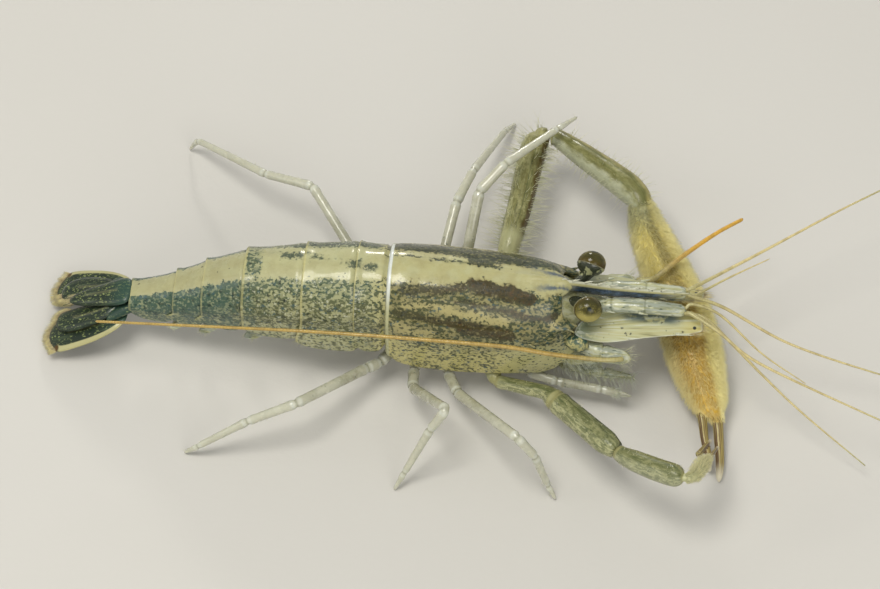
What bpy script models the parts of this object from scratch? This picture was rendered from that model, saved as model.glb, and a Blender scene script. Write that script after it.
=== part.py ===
"""Freshwater prawn with one large velvety claw, standing on a flat floor.

Modelled in millimetres in the animal's own frame: +X points to its head, +Y to its left side
and z = 0 is the floor. At the end the whole animal is moved so that the origin lies on the
floor, under the middle of its bounding box. Run with: blender --background --python part.py
"""
import math

import bmesh
import bpy
from mathutils import Matrix, Vector

MM = 0.001                      # metres in a millimetre

# Driving dimensions, in millimetres
CUT = 0.30                      # width of the cut between two neighbouring pieces
PLATE = 0.50                    # thickness of the tail blades and the antennal scales
FEELER = 0.27                   # radius of a feeler
CLAW_TIP = 0.26                 # radius of a leg at its tip
EYE = (1.32, 1.15, 1.28)        # half sizes of an eye
EYE_PLACE = (12.85, 2.55, 12.2)
TAIL_PITCH = 23.0               # degrees that the tail fan slopes down to the rear
TAIL_ROOT = (-30.3, 0.0, 6.0)   # where the telson joins the last somite
SIDES = (("left", 1.0), ("right", -1.0))

# Colours: one for each kind of piece
SHELL = (0.55, 0.55, 0.38)
REAR_SHELL = (0.40, 0.48, 0.42)
FAN = (0.10, 0.17, 0.16)
GLASSY = (0.66, 0.66, 0.55)
LEG = (0.62, 0.62, 0.48)
ARM = (0.30, 0.33, 0.18)
VELVET = (0.72, 0.55, 0.20)
FINGER = (0.30, 0.19, 0.08)
FEELER_GOLD = (0.75, 0.50, 0.15)
FEELER_PALE = (0.75, 0.70, 0.45)
CORNEA = (0.16, 0.10, 0.03)

# Carapace sections: x at the back, height of the back, height of the lower margin, half width,
# and how far the lower margin runs ahead of the back
CARAPACE = (
    (-5.65, 13.70, 4.90, 4.35, 0.0),
    (-4.80, 13.80, 4.20, 4.60, 0.0),
    (-2.50, 13.70, 3.70, 4.90, 0.0),
    (0.50, 13.50, 3.60, 5.00, 0.0),
    (3.50, 13.30, 3.60, 4.95, 0.2),
    (6.50, 13.05, 3.65, 4.70, 0.5),
    (8.80, 12.85, 3.80, 4.30, 0.9),
    (10.20, 12.60, 4.20, 3.70, 1.2),
    (10.80, 12.20, 5.00, 3.20, 1.2),
)
# Abdomen: front x, rear x, back at both ends, lower margin, half width at both ends
SOMITES = (
    (-5.80, -8.50, 13.70, 13.75, 4.80, 4.20, 4.30),
    (-8.50, -13.40, 13.75, 13.00, 4.85, 4.40, 4.15),
    (-13.40, -19.00, 13.00, 11.70, 5.30, 4.05, 3.55),
    (-19.00, -22.90, 11.70, 9.70, 5.20, 3.45, 2.90),
    (-22.90, -25.70, 9.70, 8.00, 4.60, 2.85, 2.35),
    (-25.70, -30.00, 8.00, 6.20, 4.00, 2.25, 1.70),
)

# Joints of the limbs on each side: x, distance from the midline, z and radius at each joint
WALKING_LEGS = {
    "leg_3_left": ((0.2, 2.4, 3.2, 0.58), (0.4, 4.5, 2.6, 0.54), (0.6, 5.8, 3.0, 0.54),
                   (1.7, 12.5, 8.5, 0.52), (4.0, 14.9, 10.0, 0.44), (8.6, 20.0, 9.2, 0.32),
                   (10.4, 22.2, 8.4, CLAW_TIP)),
    "leg_4_left": ((-2.3, 2.4, 3.2, 0.58), (-2.1, 4.5, 2.7, 0.52), (-1.8, 5.8, 2.8, 0.50),
                   (-0.5, 13.2, 5.5, 0.48), (0.8, 17.2, 5.4, 0.42), (3.3, 24.8, 1.8, 0.30),
                   (4.2, 27.1, 0.0, CLAW_TIP)),
    "leg_5_left": ((-4.8, 2.2, 3.2, 0.58), (-6.6, 4.2, 3.2, 0.52), (-8.3, 5.4, 3.4, 0.50),
                   (-14.3, 12.8, 7.0, 0.46), (-19.1, 14.9, 5.5, 0.40), (-26.6, 20.6, 2.4, 0.30),
                   (-27.6, 21.1, 0.0, CLAW_TIP)),
    "leg_3_right": ((-0.2, -2.2, 3.2, 0.58), (0.2, -4.4, 2.7, 0.52), (1.3, -6.9, 3.2, 0.50),
                    (7.3, -14.2, 8.0, 0.46), (9.0, -14.6, 5.6, 0.40), (10.3, -15.1, 1.6, 0.30),
                    (11.1, -15.7, 0.0, CLAW_TIP)),
    "leg_4_right": ((-2.6, -2.2, 3.2, 0.58), (-3.0, -4.4, 2.7, 0.52), (-2.9, -6.8, 3.4, 0.50),
                    (0.7, -12.1, 8.6, 0.46), (-0.7, -13.0, 6.3, 0.40), (-2.9, -15.0, 1.8, 0.30),
                    (-3.8, -16.0, 0.0, CLAW_TIP)),
    "leg_5_right": ((-4.8, -2.0, 3.2, 0.58), (-6.2, -4.1, 3.1, 0.52), (-7.4, -5.1, 3.5, 0.50),
                    (-13.2, -11.2, 6.2, 0.46), (-17.6, -12.5, 4.6, 0.40), (-22.2, -13.7, 1.5, 0.30),
                    (-23.6, -13.7, 0.0, CLAW_TIP)),
}
SMALL_CLAWS = {
    "small_claw_left": ((6.4, 2.2, 3.2, 0.55), (8.0, 3.9, 2.8, 0.50), (11.0, 4.4, 2.8, 0.46),
                        (14.0, 4.7, 2.8, 0.42), (15.6, 4.9, 2.6, 0.26)),
    "small_claw_right": ((6.4, -2.2, 3.2, 0.55), (7.7, -3.8, 2.9, 0.50), (10.4, -4.5, 2.7, 0.46),
                         (14.6, -4.9, 2.6, 0.42), (17.5, -5.4, 2.4, 0.26)),
}
ARMS = {
    "big_arm": ((3.6, 2.6, 2.9, 0.75), (4.2, 5.6, 2.4, 0.75), (4.9, 9.3, 4.6, 1.05),
                (5.6, 13.6, 5.4, 1.20), (6.4, 19.5, 6.35, 1.32), (6.8, 20.8, 6.5, 1.05),
                (7.9, 20.9, 6.6, 0.85)),
    "second_arm": ((3.6, -2.6, 2.9, 0.75), (4.8, -4.9, 2.6, 0.62), (9.6, -7.0, 4.6, 0.70),
                   (10.6, -8.1, 4.9, 1.08), (15.4, -13.2, 6.63, 1.16), (16.0, -13.8, 6.83, 0.92),
                   (16.5, -14.3, 7.0, 0.72)),
    "big_wrist": ((7.96, 20.905, 6.605, 0.82), (8.5, 20.95, 6.65, 0.85), (11.0, 18.8, 7.1, 1.15),
                  (13.9, 16.3, 7.6, 1.32), (15.7, 14.7, 7.85, 1.42), (16.81, 13.41, 8.03, 1.25),
                  (16.98, 12.955, 7.914, 1.15)),
    "second_wrist": ((16.54, -14.34, 7.014, 0.72), (16.95, -14.75, 7.15, 0.80), (18.0, -15.5, 7.65, 0.98),
                     (20.0, -16.7, 8.4, 1.05), (21.7, -17.6, 9.1, 1.05), (22.1, -17.8, 9.3, 0.85),
                     (22.6, -17.92, 9.42, 0.45)),
}
# The big palm, wrist to fingertip: x, y, z and half width; it is PALM_DEPTH as deep as wide
PALM_DEPTH = 0.75
BIG_PALM = (
    (17.0, 12.9, 7.9, 1.20), (17.3, 12.1, 7.7, 1.65), (17.9, 10.4, 7.2, 2.05), (18.9, 8.4, 6.6, 2.35),
    (20.2, 5.7, 5.8, 2.65), (21.5, 3.0, 5.0, 2.85), (22.6, 0.2, 4.2, 2.90), (23.5, -2.5, 3.4, 2.65),
    (24.3, -4.7, 2.8, 2.15), (24.8, -5.9, 2.4, 1.55), (25.5, -7.0, 2.0, 0.60), (25.8, -9.0, 1.3, 0.46),
    (26.0, -11.0, 0.7, 0.40), (26.0, -12.6, 0.0, 0.34),
)
BIG_THUMB = ((24.2, -7.5, 2.1, 0.40), (24.4, -9.0, 1.8, 0.38), (24.9, -10.6, 1.3, 0.32),
             (25.1, -11.9, 0.7, 0.26))
SECOND_PALM = (
    (23.15, -17.95, 9.5, 0.35), (23.35, -17.5, 9.2, 0.62), (23.65, -16.8, 8.7, 0.80),
    (24.1, -15.4, 7.8, 0.80), (24.5, -14.5, 7.1, 0.58), (24.9, -13.6, 6.4, 0.32),
    (25.6, -11.3, 4.3, 0.27),
)
SECOND_THUMB = ((23.8, -13.6, 6.5, 0.32), (24.2, -12.5, 5.7, 0.28), (24.9, -10.7, 4.4, 0.26))

ANTENNA_PEDUNCLE = ((12.2, 2.9, 7.2, 0.80), (14.4, 3.9, 7.2, 0.82), (17.1, 4.4, 7.3, 0.68))
ANTENNULE_PEDUNCLE = ((11.9, 1.0, 9.6, 0.50), (13.3, 1.1, 10.1, 0.52), (15.0, 1.05, 10.75, 0.60),
                      (18.0, 1.05, 10.95, 0.58), (21.8, 1.05, 10.75, 0.52))
MAXILLIPED = ((8.4, 1.6, 3.4, 0.50), (11.5, 2.9, 3.3, 0.55), (14.6, 3.7, 3.6, 0.52),
              (17.4, 3.9, 3.5, 0.36))
EYESTALK = ((11.65, 1.1, 11.1, 0.42), (11.95, 1.5, 11.4, 0.52))
FEELERS = {
    "antenna_left": ((18.6, 4.3, 7.8), (19.4, 4.7, 8.4), (21.2, 6.5, 8.7), (24.2, 9.1, 9.1),
                     (26.7, 10.9, 9.3)),
    "antenna_right": ((17.6, -4.7, 7.3), (17.9, -5.3, 7.5), (17.2, -5.6, 7.7), (15.8, -5.45, 7.7),
                      (13.6, -5.45, 8.2), (9.7, -5.8, 9.3),
                      (5.1, -6.0, 10.3), (-5.0, -6.0, 10.5), (-13.3, -5.6, 9.8),
                      (-22.8, -4.9, 8.3), (-32.7, -4.3, 6.9)),
    "antennule_outer_left": ((22.4, 1.55, 11.05), (28.4, 6.2, 10.7), (36.0, 11.2, 11.8),
                             (44.0, 16.2, 12.6)),
    "antennule_middle_left": ((22.4, 1.0, 10.4), (25.4, 3.4, 10.1), (29.3, 6.2, 9.8)),
    "antennule_inner_left": ((22.4, 0.4, 11.1), (25.4, 0.3, 9.8), (31.7, -1.0, 6.6),
                             (40.3, -2.0, 4.1), (45.5, -2.4, 3.0)),
    "antennule_outer_right": ((22.4, -1.55, 11.05), (25.0, -3.0, 10.6), (29.0, -5.2, 9.2),
                              (40.2, -8.9, 7.0), (45.0, -10.4, 6.2)),
    "antennule_middle_right": ((22.4, -0.4, 11.1), (25.0, -1.0, 10.5), (29.0, -3.6, 8.6),
                               (33.2, -5.7, 7.3)),
    "antennule_inner_right": ((22.4, -1.0, 10.4), (24.2, -1.7, 10.1), (29.2, -4.6, 6.6),
                              (33.2, -7.0, 4.3), (39.3, -10.7, 1.9)),
}
# Swimming legs: x and z of the root, z of the foot, size
PLEOPODS = ((-7.2, 4.8, 3.2, 1.00), (-11.0, 4.9, 3.0, 1.00), (-16.0, 5.0, 3.1, 0.95),
            (-20.8, 4.9, 3.3, 0.80), (-24.3, 4.4, 3.3, 0.60))

# Flat outlines, in millimetres: along the piece, across it from the midline outwards
TELSON = ((0.0, -1.25), (0.0, 1.25), (3.2, 1.10), (5.6, 0.62), (6.3, 0.0), (5.6, -0.62), (3.2, -1.10))
ENDOPOD = ((0.5, 0.5), (0.7, 1.3), (2.6, 2.4), (5.2, 3.0), (7.0, 2.8), (7.9, 2.0), (7.6, 1.1),
           (5.6, 0.7), (3.0, 0.5))
EXOPOD = ((0.3, 1.0), (0.3, 2.5), (2.8, 3.9), (7.0, 4.6), (8.3, 4.0), (9.0, 2.7), (8.6, 1.6),
          (6.4, 1.2), (3.0, 1.0))
SCALE = ((0.0, 2.9), (0.4, 3.7), (2.9, 4.0), (6.5, 3.2), (11.1, 2.5), (11.7, 1.9), (11.2, 1.2),
         (8.5, 0.9), (4.5, 1.2), (1.6, 2.0))
SCALE_ROOT = (11.8, 10.15)      # x and z of the scale's plane at the midline
SCALE_ROLL = 20.0               # degrees that the scale's outer edge hangs
# Rostrum: x, upper edge, lower edge
ROSTRUM = ((11.40, 12.70, 11.00), (13.80, 12.65, 10.80), (17.50, 12.40, 10.95),
           (20.30, 12.30, 11.30), (22.00, 12.30, 12.05))
ROSTRUM_TEETH = 9
TOOTH = 0.35                    # height of a tooth


def remove_old_objects():
    """Empty the scene before anything is built."""
    for obj in list(bpy.data.objects):
        bpy.data.objects.remove(obj, do_unlink=True)


def material(name, colour, roughness=0.4):
    """A Principled material with the part's own colour."""
    made = bpy.data.materials.new(name)
    made.use_nodes = True
    shader = made.node_tree.nodes["Principled BSDF"]
    shader.inputs["Base Color"].default_value = (*colour, 1.0)
    shader.inputs["Roughness"].default_value = roughness
    made.diffuse_color = (*colour, 1.0)
    return made


def add_object(name, data, colour, roughness=0.4):
    """Link an object to the prawn's collection, under the animal's empty."""
    obj = bpy.data.objects.new(name, data)
    data.materials.append(material(name, colour, roughness))
    collection.objects.link(obj)
    obj.parent = animal
    return obj


def metres(point):
    """A point given in millimetres, as a vector in metres."""
    return Vector(point) * MM


def rounded_joints(joints, reach=0.55):
    """Replace each bend of a limb by three points, so that its tube keeps its width there."""
    path = [tuple(joints[0])]
    for before, joint, after in zip(joints, joints[1:], joints[2:]):
        here = Vector(joint[:3])
        ends = []
        for other in (before, after):
            step = Vector(other[:3]) - here
            ends.append(here + step.normalized() * min(reach, step.length * 0.4))
        middle = (ends[0] + ends[1]) * 0.25 + here * 0.5
        for point in (ends[0], middle, ends[1]):
            path.append((*point, joint[3]))
    path.append(tuple(joints[-1]))
    return path


def tube(name, path, colour, roughness=0.4):
    """A tube along (x, y, z, radius) points, as a curve object with filled caps."""
    curve = bpy.data.curves.new(name, "CURVE")
    curve.dimensions = "3D"
    curve.bevel_depth = MM
    curve.bevel_resolution = 2
    curve.use_fill_caps = True
    spline = curve.splines.new("POLY")
    spline.points.add(len(path) - 1)
    for point, (x, y, z, radius) in zip(spline.points, path):
        point.co = (*metres((x, y, z)), 1.0)
        point.radius = radius
    return add_object(name, curve, colour, roughness)


def limb(name, joints, colour, roughness=0.4):
    """A jointed limb; one that reaches the floor is cut flat there."""
    obj = tube(name, rounded_joints(joints), colour, roughness)
    if joints[-1][2] > 0.0:
        return obj
    last, tip = Vector(joints[-2][:3]), Vector(joints[-1][:3])
    below = tip + (tip - last).normalized() * joints[-1][3] * 1.5
    obj.data.splines[0].points[-1].co = (*metres(below), 1.0)
    return cut_at_floor(obj, colour, roughness)


def cut_at_floor(obj, colour, roughness):
    """Turn a curve or mesh object into a mesh that ends on a flat at z = 0."""
    graph = bpy.context.evaluated_depsgraph_get()
    mesh = bpy.data.meshes.new_from_object(obj.evaluated_get(graph))
    name = obj.name
    bpy.data.objects.remove(obj, do_unlink=True)
    work = bmesh.new()
    work.from_mesh(mesh)
    bmesh.ops.remove_doubles(work, verts=work.verts, dist=1e-6)
    everything = work.verts[:] + work.edges[:] + work.faces[:]
    cut = bmesh.ops.bisect_plane(work, geom=everything, plane_co=(0, 0, 0), plane_no=(0, 0, 1),
                                 clear_inner=True)
    rim = [item for item in cut["geom_cut"] if isinstance(item, bmesh.types.BMEdge)]
    bmesh.ops.contextual_create(work, geom=rim)
    bmesh.ops.recalc_face_normals(work, faces=work.faces)
    work.to_mesh(mesh)
    work.free()
    mesh.materials.clear()
    return add_object(name, mesh, colour, roughness)


def loft(name, rings, colour, roughness=0.4):
    """A closed body through rings of points that all have the same count."""
    work = bmesh.new()
    rows = [[work.verts.new(metres(point)) for point in ring] for ring in rings]
    count = len(rows[0])
    for row, following in zip(rows, rows[1:]):
        for i in range(count):
            j = (i + 1) % count
            work.faces.new((row[i], row[j], following[j], following[i]))
    work.faces.new(list(reversed(rows[0])))
    work.faces.new(rows[-1])
    bmesh.ops.recalc_face_normals(work, faces=work.faces)
    mesh = bpy.data.meshes.new(name)
    work.to_mesh(mesh)
    work.free()
    mesh.shade_smooth()
    mesh.set_sharp_from_angle(angle=math.radians(40))
    return add_object(name, mesh, colour, roughness)


def body_ring(x, top, low, half, lean=0.0):
    """One section of the body: a domed back, upright flanks and a hollow underside."""
    height = top - low
    waist = low + 0.45 * height
    side = []
    for step in range(6):
        angle = step / 5 * math.pi / 2
        side.append((half * math.sin(angle), waist + (top - waist) * math.cos(angle)))
    side.append((0.995 * half, low + 0.20 * height))
    side.append((0.96 * half, low))
    side.append((0.84 * half, low + 0.01 * height))
    side.append((0.70 * half, low + 0.09 * height))
    side.append((0.0, low + 0.12 * height))
    left = [(x + lean * (top - z) / height, y, z) for y, z in side]
    right = [(x_here, -y, z) for x_here, y, z in reversed(left[1:-1])]
    return left + right


def build_body():
    """The carapace and the six somites of the abdomen."""
    loft("carapace", [body_ring(*row) for row in CARAPACE], SHELL, 0.3)
    for number, row in enumerate(SOMITES, start=1):
        front, rear, top_front, top_rear, low, half_front, half_rear = row
        rings = []
        for share, lift, spread in ((0.0, 0.9, 0.985), (0.14, 0.25, 1.0), (0.5, 0.0, 1.005),
                                    (0.86, 0.25, 1.0), (1.0, 0.9, 0.985)):
            x = front - CUT / 2 + (rear - front + CUT) * share
            top = top_front + (top_rear - top_front) * share
            half = (half_front + (half_rear - half_front) * share) * spread
            rings.append(body_ring(x, top, low + lift, half))
        loft("abdomen_%d" % number, rings, SHELL if number < 4 else REAR_SHELL, 0.3)


def plate(name, outline, colour, thickness=PLATE):
    """A flat blade: a filled 2D outline, extruded by half its thickness to each side."""
    curve = bpy.data.curves.new(name, "CURVE")
    curve.dimensions = "2D"
    curve.fill_mode = "BOTH"
    curve.extrude = thickness / 2 * MM
    spline = curve.splines.new("POLY")
    spline.points.add(len(outline) - 1)
    for point, (along, across) in zip(spline.points, outline):
        point.co = (along * MM, across * MM, 0.0, 1.0)
    spline.use_cyclic_u = True
    return add_object(name, curve, colour, 0.35)


def build_tail():
    """The telson over the two pairs of tail blades, each pair a step lower."""
    turn = Matrix.Rotation(math.pi, 4, "Z")
    pitch = Matrix.Rotation(math.radians(-TAIL_PITCH), 4, "Y")
    step = (PLATE + CUT) / math.cos(math.radians(TAIL_PITCH))
    blade = plate("telson", TELSON, FAN)
    blade.matrix_local = Matrix.Translation(metres(TAIL_ROOT)) @ pitch @ turn
    for kind, outline, level in (("endopod", ENDOPOD, 1), ("exopod", EXOPOD, 2)):
        for side, sign in SIDES:
            mirrored = [(along, -sign * across) for along, across in outline]
            blade = plate("tail_%s_%s" % (kind, side), mirrored, FAN)
            place = Matrix.Translation(metres(TAIL_ROOT) - Vector((0, 0, step * level * MM)))
            blade.matrix_local = place @ pitch @ turn


def build_head():
    """Rostrum, eyes, antennules, antennae and mouth legs."""
    upper = [(x, high) for x, high, low in ROSTRUM]
    lower = [(x, low) for x, high, low in reversed(ROSTRUM)]
    blade = plate("rostrum", toothed(upper) + lower, SHELL, 0.70)
    blade.rotation_euler = (math.pi / 2, 0.0, 0.0)
    for side, sign in SIDES:
        mirror = Vector((1.0, sign, 1.0))
        build_eye(side, mirror)
        for name, joints, colour in (("antennule_stalk", ANTENNULE_PEDUNCLE, GLASSY),
                                     ("antenna_stalk", ANTENNA_PEDUNCLE, SHELL),
                                     ("maxilliped", MAXILLIPED, GLASSY)):
            mirrored = [(x, sign * y, z, radius) for x, y, z, radius in joints]
            limb("%s_%s" % (name, side), mirrored, colour)
        outline = [(along, sign * across) for along, across in SCALE]
        scale = plate("antennal_scale_%s" % side, outline, GLASSY)
        scale.location = metres((SCALE_ROOT[0], 0.0, SCALE_ROOT[1]))
        scale.rotation_euler = (math.radians(-SCALE_ROLL) * sign, 0.0, 0.0)
    for name, points in FEELERS.items():
        colour = FEELER_GOLD if name.startswith("antenna_") else FEELER_PALE
        limb(name, [(*point, FEELER) for point in points], colour)


def toothed(edge):
    """The upper edge of the rostrum, with its row of forward-leaning teeth."""
    first, last = edge[0], edge[-1]
    pitch = (last[0] - first[0]) / ROSTRUM_TEETH
    points = []
    for tooth in range(ROSTRUM_TEETH):
        start = first[0] + tooth * pitch
        points.append((start, height_on(edge, start)))
        points.append((start + 0.62 * pitch, height_on(edge, start) + TOOTH))
    points.append(last)
    return points


def height_on(edge, x):
    """Height of a line of (x, z) points at x."""
    for (x0, z0), (x1, z1) in zip(edge, edge[1:]):
        if x <= x1:
            return z0 + (z1 - z0) * (x - x0) / (x1 - x0)
    return edge[-1][1]


def build_eye(side, mirror):
    """A globe on a short stalk."""
    work = bmesh.new()
    bmesh.ops.create_uvsphere(work, u_segments=14, v_segments=9, radius=MM)
    bmesh.ops.scale(work, vec=EYE, verts=work.verts)
    mesh = bpy.data.meshes.new("eye_" + side)
    work.to_mesh(mesh)
    work.free()
    mesh.shade_smooth()
    eye = add_object("eye_" + side, mesh, CORNEA, 0.1)
    eye.location = metres(EYE_PLACE) * mirror
    stalk = [(x, y * mirror.y, z, radius) for x, y, z, radius in EYESTALK]
    tube("eyestalk_" + side, stalk, SHELL)


def claw_ring(path, index):
    """An elliptical section of a claw, square to the claw's course."""
    here = Vector(path[index][:3])
    after = Vector(path[min(index + 1, len(path) - 1)][:3])
    before = Vector(path[max(index - 1, 0)][:3])
    course = (after - before).normalized()
    across = course.cross(Vector((0, 0, 1))).normalized()
    upward = across.cross(course)
    half = path[index][3]
    depth = max(half * PALM_DEPTH, min(half, CLAW_TIP))
    ring = []
    for step in range(14):
        angle = step / 14 * math.tau
        ring.append(here + across * half * math.cos(angle) + upward * depth * math.sin(angle))
    return ring


def build_claws():
    """The two unlike claws: arm, wrist, palm with the fixed finger, and the moving finger."""
    for name, joints in ARMS.items():
        limb(name, joints, ARM)
    palm = [claw_ring(BIG_PALM, index) for index in range(len(BIG_PALM))]
    cut_at_floor(loft("big_palm", palm, VELVET, 0.9), VELVET, 0.9)
    palm = [claw_ring(SECOND_PALM, index) for index in range(len(SECOND_PALM))]
    loft("second_palm", palm, VELVET, 0.9)
    limb("big_finger", BIG_THUMB, FINGER)
    limb("second_finger", SECOND_THUMB, FINGER)


def build_legs():
    """The small claws, the walking legs and the swimming legs."""
    for name, joints in {**SMALL_CLAWS, **WALKING_LEGS}.items():
        limb(name, joints, LEG)
    for number, (x, root, foot, size) in enumerate(PLEOPODS, start=1):
        for side, sign in SIDES:
            joints = ((x, sign * 1.5, root, 0.42 * size),
                      (x - 1.6 * size, sign * 1.7, (root + foot) / 2, 0.50 * size),
                      (x - 3.0 * size, sign * 1.6, foot, 0.30))
            limb("swimmeret_%d_%s" % (number, side), joints, LEG)


def centre_on_floor():
    """Move the animal so that the origin is on the floor under its bounding box's middle."""
    bpy.context.view_layer.update()
    graph = bpy.context.evaluated_depsgraph_get()
    points = []
    for obj in collection.objects:
        if obj.type == "EMPTY":
            continue
        shape = obj.evaluated_get(graph)
        mesh = shape.to_mesh()
        points += [shape.matrix_world @ vertex.co for vertex in mesh.vertices]
        shape.to_mesh_clear()
    low = [min(point[axis] for point in points) for axis in range(3)]
    high = [max(point[axis] for point in points) for axis in range(3)]
    animal.location = (-(low[0] + high[0]) / 2, -(low[1] + high[1]) / 2, -low[2])


remove_old_objects()
collection = bpy.data.collections.new("prawn")
bpy.context.scene.collection.children.link(collection)
animal = bpy.data.objects.new("animal", None)
collection.objects.link(animal)
build_body()
build_tail()
build_head()
build_claws()
build_legs()
centre_on_floor()
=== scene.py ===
"""Dresses a long-armed river prawn, one of whose two claws is large and covered with velvet.

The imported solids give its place. The shapes are worked out in millimetres in the animal's own frame,
+X towards its head, +Y towards its left side and z = 0 on the floor, and go into the meshes in metres.
"""
from collections import namedtuple
from functools import cached_property, reduce
import math

import bmesh
import bpy
import numpy as np
from mathutils import Matrix, Vector, noise


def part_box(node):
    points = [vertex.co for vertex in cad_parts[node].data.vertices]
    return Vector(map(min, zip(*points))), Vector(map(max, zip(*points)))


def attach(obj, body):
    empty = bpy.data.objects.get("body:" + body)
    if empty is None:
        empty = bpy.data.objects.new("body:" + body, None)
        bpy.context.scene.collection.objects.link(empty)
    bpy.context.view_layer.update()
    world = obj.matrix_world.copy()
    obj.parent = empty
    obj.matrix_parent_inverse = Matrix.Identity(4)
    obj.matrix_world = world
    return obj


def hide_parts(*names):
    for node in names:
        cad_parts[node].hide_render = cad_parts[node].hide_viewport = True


bl_info = {
    "name": "River Prawn with a Velvet Claw",
    "version": (1, 0, 0),
    "blender": (4, 5, 0),
    "location": "3D View > Sidebar > Prawn",
    "description": "Builds the shell, limbs, feelers, velvet and stage of a river prawn",
    "category": "Add Mesh",
}

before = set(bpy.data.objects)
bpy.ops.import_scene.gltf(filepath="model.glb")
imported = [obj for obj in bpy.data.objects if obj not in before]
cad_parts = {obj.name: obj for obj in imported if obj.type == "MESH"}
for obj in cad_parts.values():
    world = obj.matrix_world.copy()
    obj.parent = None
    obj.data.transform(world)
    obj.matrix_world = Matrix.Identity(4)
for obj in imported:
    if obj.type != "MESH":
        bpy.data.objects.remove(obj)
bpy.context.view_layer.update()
BODY = "root"
MM = 0.001

# The animal's own frame in the row's: the carapace starts REAR_EDGE behind its zero point
REAR_EDGE = 5.65
SHELL_LOW, SHELL_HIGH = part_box("carapace")
SHIFT = Vector((SHELL_LOW.x / MM + REAR_EDGE, (SHELL_LOW.y + SHELL_HIGH.y) / 2 / MM, 0.0))
SIDES = (("left", 1.0), ("right", -1.0))
UP = np.array((0.0, 0.0, 1.0))
AHEAD = np.array((1.0, 0.0, 0.0))
STEEP = 0.9                     # rise of a direction above which its sideways axis is taken from AHEAD

# Carapace: x, height of the back, height of the lower margin, half width, forward lean of the margin
CARAPACE = (
    (-5.65, 13.7, 4.9, 4.35, 0.0), (-4.8, 13.8, 4.2, 4.6, 0.0), (-2.5, 13.7, 3.7, 4.9, 0.0),
    (0.5, 13.5, 3.6, 5.0, 0.0), (3.5, 13.3, 3.6, 4.95, 0.2), (6.5, 13.05, 3.65, 4.7, 0.5),
    (8.8, 12.85, 3.8, 4.3, 0.9), (10.2, 12.6, 4.2, 3.7, 1.2), (10.8, 12.2, 5.0, 3.2, 1.2),
)
# Abdomen: front x, rear x, back at both ends, lower margin, half width at both ends
SOMITES = (
    (-5.8, -8.5, 13.7, 13.75, 4.8, 4.2, 4.3), (-8.5, -13.4, 13.75, 13.0, 4.85, 4.4, 4.15),
    (-13.4, -19.0, 13.0, 11.7, 5.3, 4.05, 3.55), (-19.0, -22.9, 11.7, 9.7, 5.2, 3.45, 2.9),
    (-22.9, -25.7, 9.7, 8.0, 4.6, 2.85, 2.35), (-25.7, -30.0, 8.0, 6.2, 4.0, 2.25, 1.7),
)
# Limbs: x, y, z and radius at each joint
WALKING_LEGS = {
    "leg_3_left": (
        (0.2, 2.4, 3.2, 0.58), (0.4, 4.5, 2.6, 0.54), (0.6, 5.8, 3.0, 0.54), (1.7, 12.5, 8.5, 0.52),
        (4.0, 14.9, 10.0, 0.44), (8.6, 20.0, 9.2, 0.32), (10.4, 22.2, 8.4, 0.14)),
    "leg_4_left": (
        (-2.3, 2.4, 3.2, 0.58), (-2.1, 4.5, 2.7, 0.52), (-1.8, 5.8, 2.8, 0.5), (-0.5, 13.2, 5.5, 0.48),
        (0.8, 17.2, 5.4, 0.42), (3.3, 24.8, 1.8, 0.3), (4.2, 27.1, 0.14, 0.14)),
    "leg_5_left": (
        (-4.8, 2.2, 3.2, 0.58), (-6.6, 4.2, 3.2, 0.52), (-8.3, 5.4, 3.4, 0.5), (-14.3, 12.8, 7.0, 0.46),
        (-19.1, 14.9, 5.5, 0.4), (-26.6, 20.6, 2.4, 0.3), (-27.6, 21.1, 0.14, 0.14)),
    "leg_3_right": (
        (-0.2, -2.2, 3.2, 0.58), (0.2, -4.4, 2.7, 0.52), (1.3, -6.9, 3.2, 0.5), (7.3, -14.2, 8.0, 0.46),
        (9.0, -14.6, 5.6, 0.4), (10.3, -15.1, 1.6, 0.3), (11.1, -15.7, 0.14, 0.14)),
    "leg_4_right": (
        (-2.6, -2.2, 3.2, 0.58), (-3.0, -4.4, 2.7, 0.52), (-2.9, -6.8, 3.4, 0.5), (0.7, -12.1, 8.6, 0.46),
        (-0.7, -13.0, 6.3, 0.4), (-2.9, -15.0, 1.8, 0.3), (-3.8, -16.0, 0.14, 0.14)),
    "leg_5_right": (
        (-4.8, -2.0, 3.2, 0.58), (-6.2, -4.1, 3.1, 0.52), (-7.4, -5.1, 3.5, 0.5),
        (-13.2, -11.2, 6.2, 0.46), (-17.6, -12.5, 4.6, 0.4), (-22.2, -13.7, 1.5, 0.3),
        (-23.6, -13.7, 0.14, 0.14)),
}
SMALL_CLAWS = {
    "small_claw_left": (
        (6.4, 2.2, 3.2, 0.55), (8.0, 3.9, 2.8, 0.5), (11.0, 4.4, 2.8, 0.44), (14.0, 4.7, 2.8, 0.4),
        (14.6, 4.75, 2.76, 0.36)),
    "small_claw_right": (
        (6.4, -2.2, 3.2, 0.55), (7.7, -3.8, 2.9, 0.5), (10.4, -4.5, 2.7, 0.44), (14.6, -4.9, 2.6, 0.4),
        (16.4, -5.2, 2.5, 0.36)),
}
BIG_ARM = ((3.6, 2.6, 2.9, 0.75), (4.2, 5.6, 2.4, 0.75), (4.9, 9.3, 4.6, 1.05), (5.6, 13.6, 5.4, 1.2),
           (6.4, 19.5, 6.35, 1.32), (6.8, 20.8, 6.5, 1.05), (7.9, 20.9, 6.6, 0.85))
BIG_WRIST = ((7.96, 20.905, 6.605, 0.82), (8.5, 20.95, 6.65, 0.85), (11.0, 18.8, 7.1, 1.15),
             (13.9, 16.3, 7.6, 1.32), (15.7, 14.7, 7.85, 1.42), (16.81, 13.41, 8.03, 1.25),
             (17.3, 12.1, 7.7, 0.95))
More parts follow.
